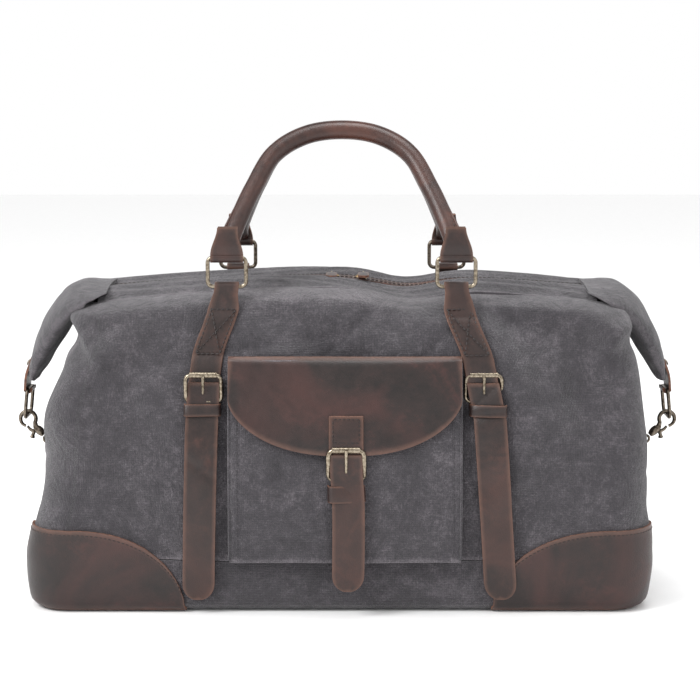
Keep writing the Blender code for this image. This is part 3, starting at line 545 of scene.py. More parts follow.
def shoulder_folds(x, y, z):
    """A soft ridge from each front shoulder down the wall: a bump exp(-d^2/w^2) about a slanting line."""
    total = np.zeros_like(x)
    for high_x, low_x, low_z in SHOULDERS:
        t = np.clip((0.276 - z) / (0.276 - low_z), -0.2, 1.2)
        across = x - (high_x + (low_x - high_x) * t)
        hollow = np.exp(-(((across - np.sign(high_x) * 0.017) / 0.010) ** 2))
        ridge = np.exp(-((across / 0.007) ** 2)) - 0.7 * hollow
        total += 0.0042 * ridge * smooth(1.15, 0.5, t) * smooth(0.0, 0.12, t + 0.05) * (y < 0)
    return total


def dents(p):
    """Cloth waves: bent sines of place, plus narrow creases where |sin| nears zero. Metres, + is out."""
    x, y, z = p[..., 0], p[..., 1], p[..., 2]
    s = x + 0.9 * y
    bend = 0.018 * np.sin(23 * z + 9 * s) + 0.012 * np.sin(31 * s - 17 * z + 1.0)
    total = np.zeros_like(x)
    for wave, heading, phase in zip(WAVE_LENGTHS, WAVE_HEADINGS, WAVE_PHASES):
        k = 2 * math.pi / wave
        run = (s + bend) * math.cos(heading) + (z - bend) * math.sin(heading)
        total += 0.0085 * wave * np.sin(k * run + phase)
    crease = np.abs(np.sin(21 * (s + 0.7 * z) + 3.2 * np.sin(17 * z + 5 * s)))
    other = np.abs(np.sin(17 * (s - 1.1 * z) + 2.4 * np.sin(13 * z - 9 * s) + 1.3))
    total -= 0.0014 * (1 - crease) ** 5 * smooth(0.06, 0.14, z)
    total -= 0.0014 * (1 - other) ** 5 * smooth(0.05, 0.12, z)
    calm = smooth(0.0, 0.05, z) * (0.45 + 0.55 * smooth(0.05, 0.2, z)) * (1 - 0.85 * smooth(0.255, 0.278, z))
    return DENT_DEPTH * total * calm + shoulder_folds(x, y, z)


def level_values(z):
    """Half length, half depth and corner radius at a height, read off the smooth profile."""
    return [np.interp(z, fine_profile[:, 0], fine_profile[:, i]) for i in (1, 2, 3)]


def front_y(x, z, out, with_dents=True):
    """The y just outside the front wall."""
    y = -level_values(z)[1]
    move = dents(np.stack(np.broadcast_arrays(x, y, z), axis=-1)) if with_dents else 0.0
    return y - move - out


def outline(u, values):
    """A point of a rounded rectangle. u runs 0 to 8: front, corner, right end, corner, and so on."""
    z, length, depth, corner = (values[..., i] for i in range(4))
    u = np.mod(u, 8.0)
    side = np.floor(u / 2.0).astype(int)
    along = np.clip(u - 2 * side, 0, 1) * 2 - 1
    turn = np.clip(u - 2 * side - 1, 0, 1) * math.pi / 2
    half = np.where(side % 2 == 0, length - corner, depth - corner)
    out = np.where(side % 2 == 0, depth - corner, length - corner)
    a = half * along + corner * np.sin(turn)
    b = -out - corner * np.cos(turn)
    angle = side * math.pi / 2
    x = a * np.cos(angle) - b * np.sin(angle) + slouch(z)
    return np.stack([x, a * np.sin(angle) + b * np.cos(angle), z], axis=-1)


def body_points(u, t, out=0.0, amount=1.0):
    """The body's surface at perimeter place u and profile place t, moved out along its normal and dented."""
    u, t = np.meshgrid(u, t)
    level = curve_at(PROFILE, t)
    here = outline(u, level)
    along = outline(u + 2e-3, level) - outline(u - 2e-3, level)
    above = curve_at(PROFILE, np.minimum(t + 0.01, LAST_LEVEL))
    normal = np.cross(along, outline(u, above) - outline(u, curve_at(PROFILE, t - 0.01)))
    normal /= np.linalg.norm(normal, axis=-1, keepdims=True)
    moved = here + normal * (out + amount * dents(here))[..., None]
    moved[..., 2] -= top_drop(moved[..., 0]) * smooth(0.215, 0.281, here[..., 2])
    return moved


def place_of(z):
    """Profile place t of a height."""
    return np.interp(z, fine_profile[:, 0], fine_t)


def wrapped_shell(name, outer, inner, finishes, has_floor=False, wear=None):
    """A loop-shaped shell: two skins joined at the top, and closed below by a rim or by two floors."""
    rows, columns = outer.shape[:2]
    count = rows * columns
    c = np.arange(columns)
    n = (c + 1) % columns
    top = count - columns
    rims = [np.stack([top + c, top + n, top + n + count, top + c + count], axis=1)]
    caps = []
    if has_floor:
        caps = [range(columns), range(count, count + columns)]
    else:
        rims.append(np.stack([c, n, n + count, c + count], axis=1))
    skins = [grid_quads(rows, columns, start, wrap=True) for start in (0, count)]
    quads = np.concatenate([*skins, *rims])
    flat = np.stack([lengths_along(outer, 1)[:1] + 0 * outer[..., 0], lengths_along(outer, 0)], axis=-1)
    worn = np.zeros(outer.shape[:2]) if wear is None else wear
    points = np.concatenate([outer.reshape(-1, 3), inner.reshape(-1, 3)])
    uv = np.concatenate([flat.reshape(-1, 2)] * 2)
    return make_piece(name, points, quads, finishes, None, uv, np.concatenate([worn.ravel()] * 2), caps)


# %% [markdown]
# The walls are one shell from the base seam to the mouth. The mesh has a point about every 3 mm, which is
# fine enough for folds. Wear is highest on the seams, where washing has rubbed the dye away.

# %% Canvas walls and base
straight, bent, short = (np.linspace(0, 1, steps, endpoint=False) for steps in (150, 14, 46))
around = [start + steps for start, steps in enumerate((straight, bent, short, bent) * 2)]
PERIMETER = np.concatenate(around)
low_rows = np.linspace(place_of(SEAM_Z + 0.0006), 8.0, 68, endpoint=False)
wall_t = np.concatenate([low_rows, np.linspace(8.0, LAST_LEVEL, 16)])
CANVAS = 0.002
walls_out = body_points(PERIMETER, wall_t)
walls_in = body_points(PERIMETER, wall_t, -CANVAS)
corner_lines = np.minimum(np.abs(np.mod(PERIMETER, 4) - 2.0), np.abs(np.mod(PERIMETER, 4) - 3.0))
base_seam_wear = 1 - smooth(0, 0.006, walls_out[..., 2] - SEAM_Z)
corner_wear = 0.9 * (1 - smooth(0.0, 0.10, corner_lines))[None, :]
ridge_wear = 0.5 * smooth(0.262, 0.276, walls_out[..., 2])
wall_wear = np.maximum(np.maximum(base_seam_wear, corner_wear), ridge_wear)
walls = wrapped_shell("canvas_walls", walls_out, walls_in, [washed_canvas], wear=wall_wear)
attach(walls, "bag")
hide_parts("front_panel", "rear_panel", "left_gusset", "right_gusset")

# The base has shallower dents than the walls, and its floor is flat at the bottom of each skin
BASE_DENTS, BASE_THICK, BASE_FLOOR = 0.6, 0.0025, 0.003
base_t = np.linspace(0.0, place_of(SEAM_Z - 0.0002), 24)
base_out = body_points(PERIMETER, base_t, 0.0, BASE_DENTS)
base_in = body_points(PERIMETER, base_t, -BASE_THICK, BASE_DENTS)
for skin, bottom in ((base_out, 0.0), (base_in, BASE_FLOOR)):
    skin[..., 2] = np.maximum(skin[..., 2], bottom)
    skin[0, :, 2] = bottom
# The base band's slightly darker canvas is painted shade
base = wrapped_shell("canvas_base", base_out, base_in, [base_cloth_painted_shade], has_floor=True)
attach(base, "bag")
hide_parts("base_tray")

lining_t = np.linspace(place_of(0.0085), place_of(0.262), 20)
lining_u = PERIMETER[::4]
lining_out = body_points(lining_u, lining_t, -0.0052)
lining_in = body_points(lining_u, lining_t, -0.0062)
lining_out[0, :, 2], lining_in[0, :, 2] = 0.0078, 0.0090
lining_bag = wrapped_shell("lining_bag", lining_out, lining_in, [lining_cloth], has_floor=True)
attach(lining_bag, "bag")
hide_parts("lining")
print("walls", walls_out.shape, "base", base_out.shape)

# %% [markdown]
# ## Leather straps
# Each strap is cut from 2.2 mm leather. It lies on the canvas, follows its dents, and narrows into a loop
# that holds the handle ring. Its long edges are cut and left raw, and a stitched box holds it to the wall.

# %% Strap tools
GAP, LEATHER = 0.0004, 0.0022
STRAP_LEVELS = (0.0125, 0.172, 0.20, 0.28)
SIDE_STRAPS = {"left": (-0.1228, -0.1184, -0.117, -0.1077), "right": (0.142, 0.1308, 0.1252, 0.1095)}
SIDES = (("left", -1), ("right", 1))
FACES = (("front", 1), ("rear", -1))
RING_Y, RING_LOW_Z, RING_TOP_Z, RING_WIRE = 0.0867, 0.2845, 0.3099, 0.0018
LIFT = 0.0008
STITCH_OUT = LIFT + GAP + LEATHER + 0.0010
HANDLE_X = 0.0025
FRONT = np.array([0.0, -1.0, 0.0])


def place(obj, body, slot_name, *nodes):
    """Fixes a piece to its body and hides the CAD nodes it stands for; slot_name is not used."""
    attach(obj, body)
    if nodes:
        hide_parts(*nodes)
    return obj


def ribbon(name, centre, across, half, thick, finishes, columns=9, **more):
    """A strap: a sheet about a centre line, from the direction across it and its half width."""
    centre = np.asarray(centre, float)
    share = np.linspace(-1, 1, columns)
    across = np.broadcast_to(np.asarray(across, float), centre.shape)
    ahead = np.gradient(centre, axis=0)
    normal = np.cross(across, ahead)
    normal /= np.linalg.norm(normal, axis=1, keepdims=True)
    wide = np.broadcast_to(half, len(centre))[:, None, None] * share[None, :, None]
    middle = centre[:, None] + across[:, None] * wide
    grow = normal[:, None] * thick / 2
    return sheet(name, middle + grow, middle - grow, finishes, **more)


def strap_x(side, z):
    """The strap's middle: its splay down the wall, drawn in to the ring's middle over the top 60 mm."""
    ring_x = HANDLE_X + (0.1 if side == "right" else -0.1)
    splay = np.interp(z, STRAP_LEVELS, SIDE_STRAPS[side])
    return splay + (ring_x - splay) * smooth(0.222, 0.285, z)


def tongue(heights, end_z, half, length=0.02):
    """Half width up to a rounded point: half * sqrt(1 - (1 - d/length)^2.4), d being the way to the end."""
    left = np.clip(np.abs(heights - end_z) / length, 0, 1)
    return half * np.sqrt(np.maximum(1 - (1 - left) ** 2.4, 0.012))


def wall_strap(name, heights, middle, half, out, thick, finishes, **more):
    """A strap laid on the front wall: y comes from the wall at each point, with its dents."""
    share = np.linspace(-1, 1, 9)[None, :]
    z = np.broadcast_to(np.asarray(heights)[:, None], (len(heights), 9))
    x = np.asarray(middle)[:, None] + np.broadcast_to(half, len(heights))[:, None] * share
    y = front_y(x, z, out)
    outer, inner = (np.stack([x, y - push, z], axis=-1) for push in (thick / 2, -thick / 2))
    return sheet(name, outer, inner, finishes, **more)


def edge_lines(x, z, out, inset, half, face=1):
    """The two stitch lines of a strap on the wall."""
    lines = []
    for sign in (-1, 1):
        xs = x + sign * (half - inset)
        lines.append(np.stack([xs, face * front_y(xs, z, out), z], axis=1))
    return lines


# %% Upper straps
STRAP_HALF, LOOP_HALF = 0.0135, 0.0105
BOX_LOW, BOX_HIGH, BOX_HALF = 0.2275, 0.2655, 0.0107
BOX_THREAD = (thread_brown, 0.0042, 0.0031, 0.0007)


def upper_strap(face, sign, side, ring_x):
    """Up the wall, over a bridge curve to the ring's lower bar, and round the bar."""
    low = 0.150 if face == "front" else 0.050
    z = np.linspace(low, 0.262, 70)
    x = strap_x(side, z)
    y = front_y(x, z, LIFT + GAP + LEATHER / 2)
    wall = np.stack([x, y, z], 1)
    loop = RING_WIRE + GAP + LEATHER / 2
    turn = np.linspace(0, 3.5, 22)
    over_y, over_z = -RING_Y - loop * np.cos(turn), RING_LOW_Z + loop * np.sin(turn)
    over = np.stack([np.full(22, ring_x), over_y, over_z], axis=1)
    halfway = [(x[-1] + ring_x) / 2, -0.0909, 0.2735]
    bridge = curve_through([wall[-12], wall[-1], halfway, over[0], over[3]], 41)[10:31]
    line = np.concatenate([wall, bridge[1:-1], over])
    line[:, 1] *= sign
    half = np.interp(line[:, 2], (0.266, 0.2795), (STRAP_HALF, LOOP_HALF))
    strap = ribbon(f"{face}_strap_{side}", line, (sign, 0, 0), half, LEATHER, strap_sheet, wear_width=0.005)
    place(strap, "bag", "leather", f"{face}_strap_{side}")


def box_stitching(face, sign, side):
    """The box with a cross in it that holds the strap to the wall."""
    z = np.linspace(BOX_LOW, BOX_HIGH, 30)
    for index, path in enumerate(edge_lines(strap_x(side, z), z, STITCH_OUT, 0.0030, STRAP_HALF, sign)):
        place(stitches(f"{face}_{side}_box_side_{index}", path, FRONT * sign, *BOX_THREAD), "bag", "leather")
    runs = [(-1, 1, BOX_LOW, BOX_LOW), (-1, 1, BOX_HIGH, BOX_HIGH)]
    runs += [(-1, 1, BOX_LOW, BOX_HIGH), (1, -1, BOX_LOW, BOX_HIGH)]
    t = np.linspace(0, 1, 16)
    for index, (start, end, z0, z1) in enumerate(runs):
        z = z0 + (z1 - z0) * t
        x = strap_x(side, z) + BOX_HALF * (start + (end - start) * t)
        path = np.stack([x, sign * front_y(x, z, STITCH_OUT), z], axis=1)
        place(stitches(f"{face}_{side}_box_run_{index}", path, FRONT * sign, *BOX_THREAD), "bag", "leather")


for side, where in SIDES:
    for face, sign in FACES:
        upper_strap(face, sign, side, HANDLE_X + where * 0.1)
        box_stitching(face, sign, side)
print("straps laid")

# %% [markdown]
# The loose tails hang below the buckles, over the canvas. They are a second layer, so they lie further out,
# and their ends are cut to a soft point.

# %% Strap tails, buckles and keepers
TAIL_OUT = GAP * 2 + LEATHER * 1.5 + LIFT
TAIL_HALF, WIRE = 0.0140, 0.0018


def wire_frame(width, height, corner, wire):
    """The bent wire of a buckle or ring in its own plane, as its middle line."""
    return rounded_outline(width - 2 * wire, height - 2 * wire, corner, 6)


def middle_of(node):
    """The middle of a CAD node's box, with the box's width and height."""
    low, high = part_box(node)
    return [(low[i] + high[i]) / 2 for i in range(3)], high[0] - low[0], high[2] - low[2]


def keeper(name, body, x, z, half, out, height):
    """A leather loop round the strap: a low arch, |cos a|^0.35 wide and |sin a|^0.4 high."""
    a = np.linspace(0, math.pi, 25)
    arch = -np.sign(np.cos(a)) * np.abs(np.cos(a)) ** 0.35 * half
    rise = (np.abs(np.sin(a)) ** 0.4)[None, :]
    rows = np.linspace(-1, 1, 9)[:, None]
    zz = z + rows * height / 2 + 0 * arch[None, :]
    wall = front_y(x + arch[None, :], zz, GAP + LIFT)
    bow = (out + 0.0008 * (1 - rows**2)) * rise
    grids = []
    for shrink in (0.0, 0.0013):
        xx = np.broadcast_to(x + arch * (half - shrink) / half, zz.shape)
        grids.append(np.stack([xx, wall - bow + shrink * rise, zz], axis=-1))
    place(sheet(name, *grids, strap_sheet, rounding=0.0004, wear_width=0.002), body, "leather", name)


def roller(name, body, x, y, z, radius):
    """The loose tube on a buckle's upper bar."""
    along = x + np.linspace(-0.0118, 0.0118, 12)
    path = np.stack([along, np.full(12, y), np.full(12, z)], axis=1)
    place(tube(name, path, radius, [antique_metal], 14, across_hint=(0, 0, 1)), body, "hardware")


def prong(name, body, x, y, z, thick, thin):
    """The buckle's tapered tongue, from its bar down to its tip."""
    path = np.stack([np.full(16, x), y, z], axis=1)
    made = tube(name, path, np.linspace(thick, thin, 16), [antique_metal], 10, across_hint=(0, 1, 0))
    place(made, body, "hardware", name)


# %% Side tails with their buckles
BUCKLE_DIP = 0.0058
for side, where in SIDES:
    z = np.concatenate([np.linspace(0.2035, 0.036, 90), 0.0125 + 0.0235 * np.linspace(1, 0, 26)[1:] ** 1.6])
    half = tongue(z, 0.0122, TAIL_HALF, 0.017)
    middle = strap_x(side, z)
    tail = wall_strap(f"strap_tail_{side}", z, middle, half, TAIL_OUT, LEATHER, strap_sheet, wear_width=0.004)
    place(tail, "bag", "leather", f"strap_tail_{side}")

    # The wire follows the wall's slope, and its lower bar dips under the tail
    (cx, cy, cz), width, height = middle_of(f"buckle_{side}")
    wire = wire_frame(width, height, 0.0048, WIRE)
    x, z = cx + wire[:, 0], cz + wire[:, 1]
    y = front_y(x, z, 0.0, False) - (front_y(cx, cz, 0.0, False) - cy)
    y = y + BUCKLE_DIP * smooth(0.001, -0.011, wire[:, 1])
    path = np.stack([x, y, z], axis=1)
    place(tube(f"buckle_{side}", path, WIRE, [antique_metal], 12, True), "bag", "hardware", f"buckle_{side}")
    bar_z = cz + height / 2 - WIRE
    rising = np.argsort(path[::-1, 2])
    bar_y = float(np.interp(bar_z, path[::-1, 2][rising], path[::-1, 1][rising]))
    roller(f"roller_{side}", "bag", cx, bar_y, bar_z, 0.0026)

    low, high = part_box(f"prong_{side}")
    z = np.linspace(high[2] - 0.001, low[2] + 0.0080, 16)
    y = np.interp(z, (low[2], bar_z), (low[1] + 0.0012, bar_y - 0.0038))
    prong(f"prong_{side}", f"{side}_prong", cx, y, z, 0.0016, 0.0010)
    keeper_z = middle_of(f"keeper_{side}")[0][2]
    keeper(f"keeper_{side}", "bag", float(strap_x(side, keeper_z)), keeper_z, 0.0162, 0.0074, 0.0102)

# %% [markdown]
# ## Rings and rolled handles
# The rings are bent wire. Each handle is a rolled tube of thick leather; its ends are left flat, cut to tabs
# and folded round the rings. A raised seam runs along the outside of the roll.

# %% Rings and handles
# Across and up, as shares of the half width and of the height
HALF_ARCH = [(-1.0, 0.0), (-1.0, 0.07), (-0.97, 0.16), (-0.885, 0.335), (-0.785, 0.53), (-0.61, 0.80),
             (-0.33, 0.955)]
ARCH = np.array(HALF_ARCH + [(0.0, 1.0)] + [(-x, height) for x, height in reversed(HALF_ARCH)])
ARCH_TOP, ARCH_Y, HANDLE_HALF = 0.4175, 0.0082, 0.1
FRAME_CORNER = 0.0048


def handle_ring(face, y, side):
    """A rectangular ring of bent wire."""
    node = f"{face}_ring_{side}"
    (cx, _, cz), width, height = middle_of(node)
    flat = wire_frame(width, height, FRAME_CORNER, RING_WIRE)
    path = np.stack([cx + flat[:, 0], np.full(len(flat), y), cz + flat[:, 1]], axis=1)
    # The rear rings are the same fitting as the front ones; their darker metal is painted shade
    finish = antique_metal if face == "front" else end_metal_and_rear_ring_shade
    place(tube(node, path, RING_WIRE, [finish], 12, True), f"{face}_rings", "hardware", node)


def rolled_handle(face, y_sign):
    """The roll flattens to its ends. A raised seam and a line of thread run along its outside."""
    body = f"{face}_carry"
    y = y_sign * (RING_Y - (RING_Y - ARCH_Y) * np.minimum(1, np.maximum(ARCH[:, 1], 0) * 1.02) ** 0.9)
    z = RING_TOP_Z + ARCH[:, 1] * (ARCH_TOP - RING_TOP_Z)
    points = np.stack([HANDLE_X + ARCH[:, 0] * HANDLE_HALF, y, z], 1)
    path = curve_through(points, 180)[6:-6]
    ends = np.minimum(np.arange(len(path)), np.arange(len(path))[::-1])
    wide = np.interp(ends, (0, 8, 22, 34), (0.0104, 0.0104, 0.0086, 0.0078))
    deep = np.interp(ends, (0, 10, 24, 34), (0.0024, 0.0034, 0.0068, 0.0078))
    roll = tube(f"{face}_handle", path, wide, [handle_leather], 28, flat=deep)
    place(roll, body, "handle_leather", f"{face}_handle")

    middle = path[8:-8]
    across = tube_rings(path, wide, 28, flat=deep)[8:-8, 0] - middle
    across /= np.linalg.norm(across, axis=1, keepdims=True)
    outward = np.where((across * (middle - [HANDLE_X, 0, 0.30])).sum(1, keepdims=True) > 0, 1.0, -1.0)
    facing = np.array([0.0, y_sign, 0.15])
    around = across * outward * 0.86 + facing * 0.51
    around /= np.linalg.norm(around, axis=1, keepdims=True)
    seam_line = middle + around * wide[8:-8, None]
    seam = tube(f"{face}_handle_seam", seam_line, 0.0011, [handle_leather], 8, across_hint=(0, 1, 0))
    place(seam, body, "handle_leather")
    thread_line = middle + (across * outward * 0.62 + facing * 0.78) * wide[8:-8, None]
    thread = stitches(f"{face}_handle_thread", thread_line, facing, thread_brown, 0.0046, 0.0034, 0.0005)
    place(thread, body, "handle_leather")


def handle_tab(face, y_sign, side, where):
    """The flat end of the handle's leather, folded round the ring's upper bar."""
    x, ring_y = HANDLE_X + where * HANDLE_HALF, y_sign * RING_Y
    loop = RING_WIRE + GAP + 0.0012
    turn = np.linspace(0.15 * math.pi, 1.85 * math.pi, 26)
    fold = np.stack([np.full(26, x), ring_y + loop * np.sin(turn), RING_TOP_Z + loop * np.cos(turn)], axis=1)
    top = np.array([[x - where * 0.0006, ring_y - y_sign * 0.004 + 0.0052, RING_TOP_Z + 0.0260],
                    [x, ring_y + 0.0034, RING_TOP_Z + 0.012]])
    end = top[::-1] - [[0, 0.0068, 0], [0, 0.0104, 0]]
    line = curve_through(np.concatenate([top, fold[::3], end]), 60)
    half = 0.0142 - 0.0056 * smooth(RING_TOP_Z + 0.002, RING_TOP_Z + 0.025, line[:, 2])
    tab = ribbon(f"{face}_handle_tab_{side}", line, (1, 0, 0), half, LEATHER, strap_sheet, wear_width=0.003)
    place(tab, f"{face}_carry", "handle_leather")


for face, sign in FACES:
    for side, where in SIDES:
        handle_ring(face, -sign * RING_Y, side)
    rolled_handle(face, -sign)
    for side, where in SIDES:
        handle_tab(face, -sign, side, where)
print("handles done")

# %% [markdown]
# ## Front pocket and its leather flap
# The pocket is a canvas patch pocket with a small gusset. Its face bulges a little, and its side seams
# pucker. The flap is one sheet of leather with a pale cut edge, and hangs over the pocket's mouth.

# %% Pocket
POCKET_X, POCKET_HALF, POCKET_DEPTH, POCKET_TOP = 0.0055, 0.1005, 0.0110, 0.2235
SIDE_ROWS, COLUMNS, POCKET_CLOTH = 6, 100, 0.0012
pocket_share = np.concatenate([[-1.0] * SIDE_ROWS, np.linspace(-1, 1, 90)[1:-1], [1.0] * SIDE_ROWS])
# Rises from 0 at the wall to 1 at the face over the pocket's own side walls
off_wall = np.concatenate([np.linspace(0, 1, SIDE_ROWS), np.ones(88), np.linspace(1, 0, SIDE_ROWS)])[None, :]
from_edge = (1 - np.abs(pocket_share))[None, :]
px, pz = np.meshgrid(POCKET_X + POCKET_HALF * pocket_share, np.linspace(SEAM_Z + 0.0004, POCKET_TOP, 76))
inside = np.minimum(from_edge, 0.2) / 0.2
bulge = 0.0022 * np.sqrt(inside) * np.sin(np.clip((pz - SEAM_Z) / 0.12, 0, 1) * math.pi / 2)
pucker = 0.0007 * np.sin(pz * 520 + 3 * np.sin(pz * 90)) * np.exp(-((from_edge / 0.05) ** 2))
folds = 0.0012 * np.sin(38 * px + 16 * pz + 1.2 * np.sin(60 * pz)) * np.sin(31 * pz - 12 * px + 0.6) * inside
face_out = POCKET_DEPTH - 0.0010 + bulge * 0.5 + pucker * 0.6 + folds
face_out = face_out * np.sin(off_wall * math.pi / 2) - 0.0014 * (1 - smooth(0.0, 0.05, from_edge))
wall_dents = dents(np.stack([px, 0 * px - 0.115, pz], -1))
py = front_y(px, pz, 0.0, False) - np.maximum(face_out, 0.0) - 0.25 * np.maximum(wall_dents, 0)
pocket_out = np.stack([px, py, pz], axis=-1)
inwards_x = -np.sign(px - POCKET_X) * POCKET_CLOTH * (from_edge < 0.01)
inwards = np.stack([inwards_x, POCKET_CLOTH * off_wall + 0 * px, 0 * px], -1)
canvas_sheet = [washed_canvas, washed_canvas]
pocket = sheet("front_pocket", pocket_out, pocket_out + inwards, canvas_sheet, wear_width=0.006)
place(pocket, "bag", "canvas", "front_pocket")
for side, column, inwards in (("left", SIDE_ROWS, 1), ("right", COLUMNS - 1 - SIDE_ROWS, -1)):
    path = pocket_out[2:-2, column + 2 * inwards] - [0, 0.0004, 0]
    place(stitches(f"pocket_seam_{side}", path, FRONT, thread_grey, 0.0036, 0.0025, 0.00035), "bag", "canvas")
    ridge = pocket_out[1:-1, column - inwards] - [0, 0.0002, 0]
    welt = tube(f"pocket_welt_{side}", ridge, 0.0011, [washed_canvas], 8, across_hint=(1, 0, 0))
    place(welt, "bag", "canvas")

# %% Flap
FLAP_HALF, FLAP_TOP, FLAP_SIDE, FLAP_LOW = 0.1010, 0.2262, 0.190, 0.1425
FLAP_OUT = POCKET_DEPTH + GAP


def flap_edge(share):
    """Height of the flap's lower edge: a curve like a superellipse, flattest in the middle."""
    return FLAP_SIDE - (FLAP_SIDE - FLAP_LOW) * np.maximum(1 - np.abs(share) ** 2.4, 0) ** 0.62


def flap_face_y(x, z, share, row):
    """The y of the flap's face: a curled lip, a slight bow, a wave, and a fold back at the hinge."""
    curl = 0.0016 * smooth(0.7, 1.0, row) * (0.4 + 0.6 * np.sin(share * 2.6 + 0.5) ** 2)
    bow = 0.0012 * np.sin(row * math.pi) * (1 - share**2)
    back = 0.0045 * (1 - smooth(0.0, 0.10, row)) ** 2
    ripple = 0.0006 * np.sin(46 * x - 30 * z) + 0.0004 * np.sin(90 * z + 35 * x)
    return front_y(x, z, FLAP_OUT + 0.0012, False) - curl - bow - ripple + back - LEATHER


def flap_surface(x, z):
    """The same face, read at any place on it."""
    share = np.clip((x - POCKET_X) / FLAP_HALF, -0.999, 0.999)
    row = np.clip((FLAP_TOP - z) / (FLAP_TOP - flap_edge(share)), 0, 1)
    return flap_face_y(x, z, share, row)


flap_share = np.sin(np.linspace(-1, 1, 101) * math.pi / 2)[None, :]
flap_row = np.linspace(0, 1, 46)[:, None]
fz = FLAP_TOP + flap_row * (flap_edge(flap_share) - FLAP_TOP)
fx = np.broadcast_to(POCKET_X + flap_share * FLAP_HALF, fz.shape)
flap_face = np.stack([fx, flap_face_y(fx, fz, flap_share, flap_row), fz], axis=-1)
flap = sheet("pocket_flap", flap_face, flap_face + [0, LEATHER, 0], leather_sheet, wear_width=0.006)
place(flap, "flap", "leather", "pocket_flap")

# %% Centre strap
STRAP_CX, TAB_OUT = 0.0065, 0.0157


def over_flap(name, z, middle, half, extra):
    """A strip laid on the flap, and below the flap hanging just clear of the pocket."""
    share = np.linspace(-1, 1, 9)[None, :]
    zz = np.broadcast_to(z[:, None], (len(z), 9))
    xx = np.asarray(middle)[:, None] + np.broadcast_to(half, len(z))[:, None] * share
    clear = front_y(xx, zz, TAB_OUT - 0.0012, False)
    y = np.minimum(flap_surface(xx, np.maximum(zz, 0.148)), clear) - extra
    outer = np.stack([xx, y - LEATHER, zz], axis=-1)
    strip = sheet(name, outer, outer + [0, LEATHER, 0], strap_sheet, wear_width=0.004)
    place(strip, "flap", "leather", name)
    return outer


tab_z = np.linspace(0.1772, 0.1450, 34)
tab_face = over_flap("flap_tab", tab_z, np.full(34, STRAP_CX), 0.0148, 0.0002)
box = np.array([(-1, 0.1745), (1, 0.1745), (1, 0.1545), (-1, 0.1545), (-1, 0.1745)])
for index in range(4):
    run = box[index] + (box[index + 1] - box[index]) * np.linspace(0, 1, 14)[:, None]
    y = np.interp(run[:, 1], tab_z[::-1], tab_face[::-1, 4, 1]) - 0.0001
    path = np.stack([STRAP_CX + run[:, 0] * 0.0114, y, run[:, 1]], axis=1)
    place(stitches(f"flap_tab_box_{index}", path, FRONT, thread_brown, 0.0038, 0.0027), "flap", "leather")
tail_z = np.concatenate([np.linspace(0.1440, 0.046, 70), 0.0235 + 0.0225 * np.linspace(1, 0, 26)[1:] ** 1.6])
tail_x = STRAP_CX + 0.0012 * smooth(0.13, 0.10, tail_z) + 0.0009 * np.sin((0.14 - tail_z) * 25)
over_flap("flap_tail", tail_z, tail_x, tongue(tail_z, 0.0232, TAIL_HALF, 0.017), 0.0008)

# %% Centre buckle
(cx, cy, cz), width, height = middle_of("flap_buckle")
wire = wire_frame(width, height, 0.0058, WIRE)
y = cy + BUCKLE_DIP * smooth(-0.001, -0.013, wire[:, 1])
path = np.stack([cx + wire[:, 0], y, cz + wire[:, 1]], axis=1)
place(tube("flap_buckle", path, 0.0021, [antique_metal], 12, True), "flap", "hardware", "flap_buckle")
bar_z = cz + height / 2 - WIRE
roller("flap_roller", "flap", cx, cy, bar_z, 0.0027)
z = np.linspace(bar_z + 0.0006, cz - height / 2 + 0.0100, 16)
prong("flap_prong", "centre_prong", cx, np.linspace(cy - 0.0039, cy - 0.0026, 16), z, 0.0017, 0.0011)
(cx, cy, cz), width, height = middle_of("flap_keeper")
keeper("flap_keeper", "flap", cx, cz, width / 2, TAB_OUT + 0.0038, 0.0145)
print("pocket and flap done")

# %% [markdown]
# ## Leather corner patches
# Each lower corner is wrapped by a leather patch with a quarter-ellipse top, stitched on over the canvas.

# %% Patches
PATCH_TOP, PATCH_LOW, PATCH_OUT = 0.074, 0.0030, 0.0027
PATCH_FRONT = 0.105 / (2 * (0.275 - 0.034))
PATCH_SIDE = 0.047 / (2 * (0.117 - 0.034))
CORNERS_OF = (("patch_front_right", 1, False), ("patch_rear_right", 3, True),
              ("patch_rear_left", 5, False), ("patch_front_left", 7, True))


def on_patch(u, z, out):
    """Points on the corner at each (u, z), out metres from the wall, with the base's own dents."""
    level = curve_at(PROFILE, place_of(z))
    above, below = (curve_at(PROFILE, place_of(near)) for near in (z + 0.0004, np.maximum(z - 0.0004, 0)))
    here = outline(u, level)
    along = outline(u + 2e-3, level) - outline(u - 2e-3, level)
    normal = np.cross(along, outline(u, above) - outline(u, below))
    normal /= np.linalg.norm(normal, axis=-1, keepdims=True)
    return here + normal * (out + BASE_DENTS * dents(here))[..., None]


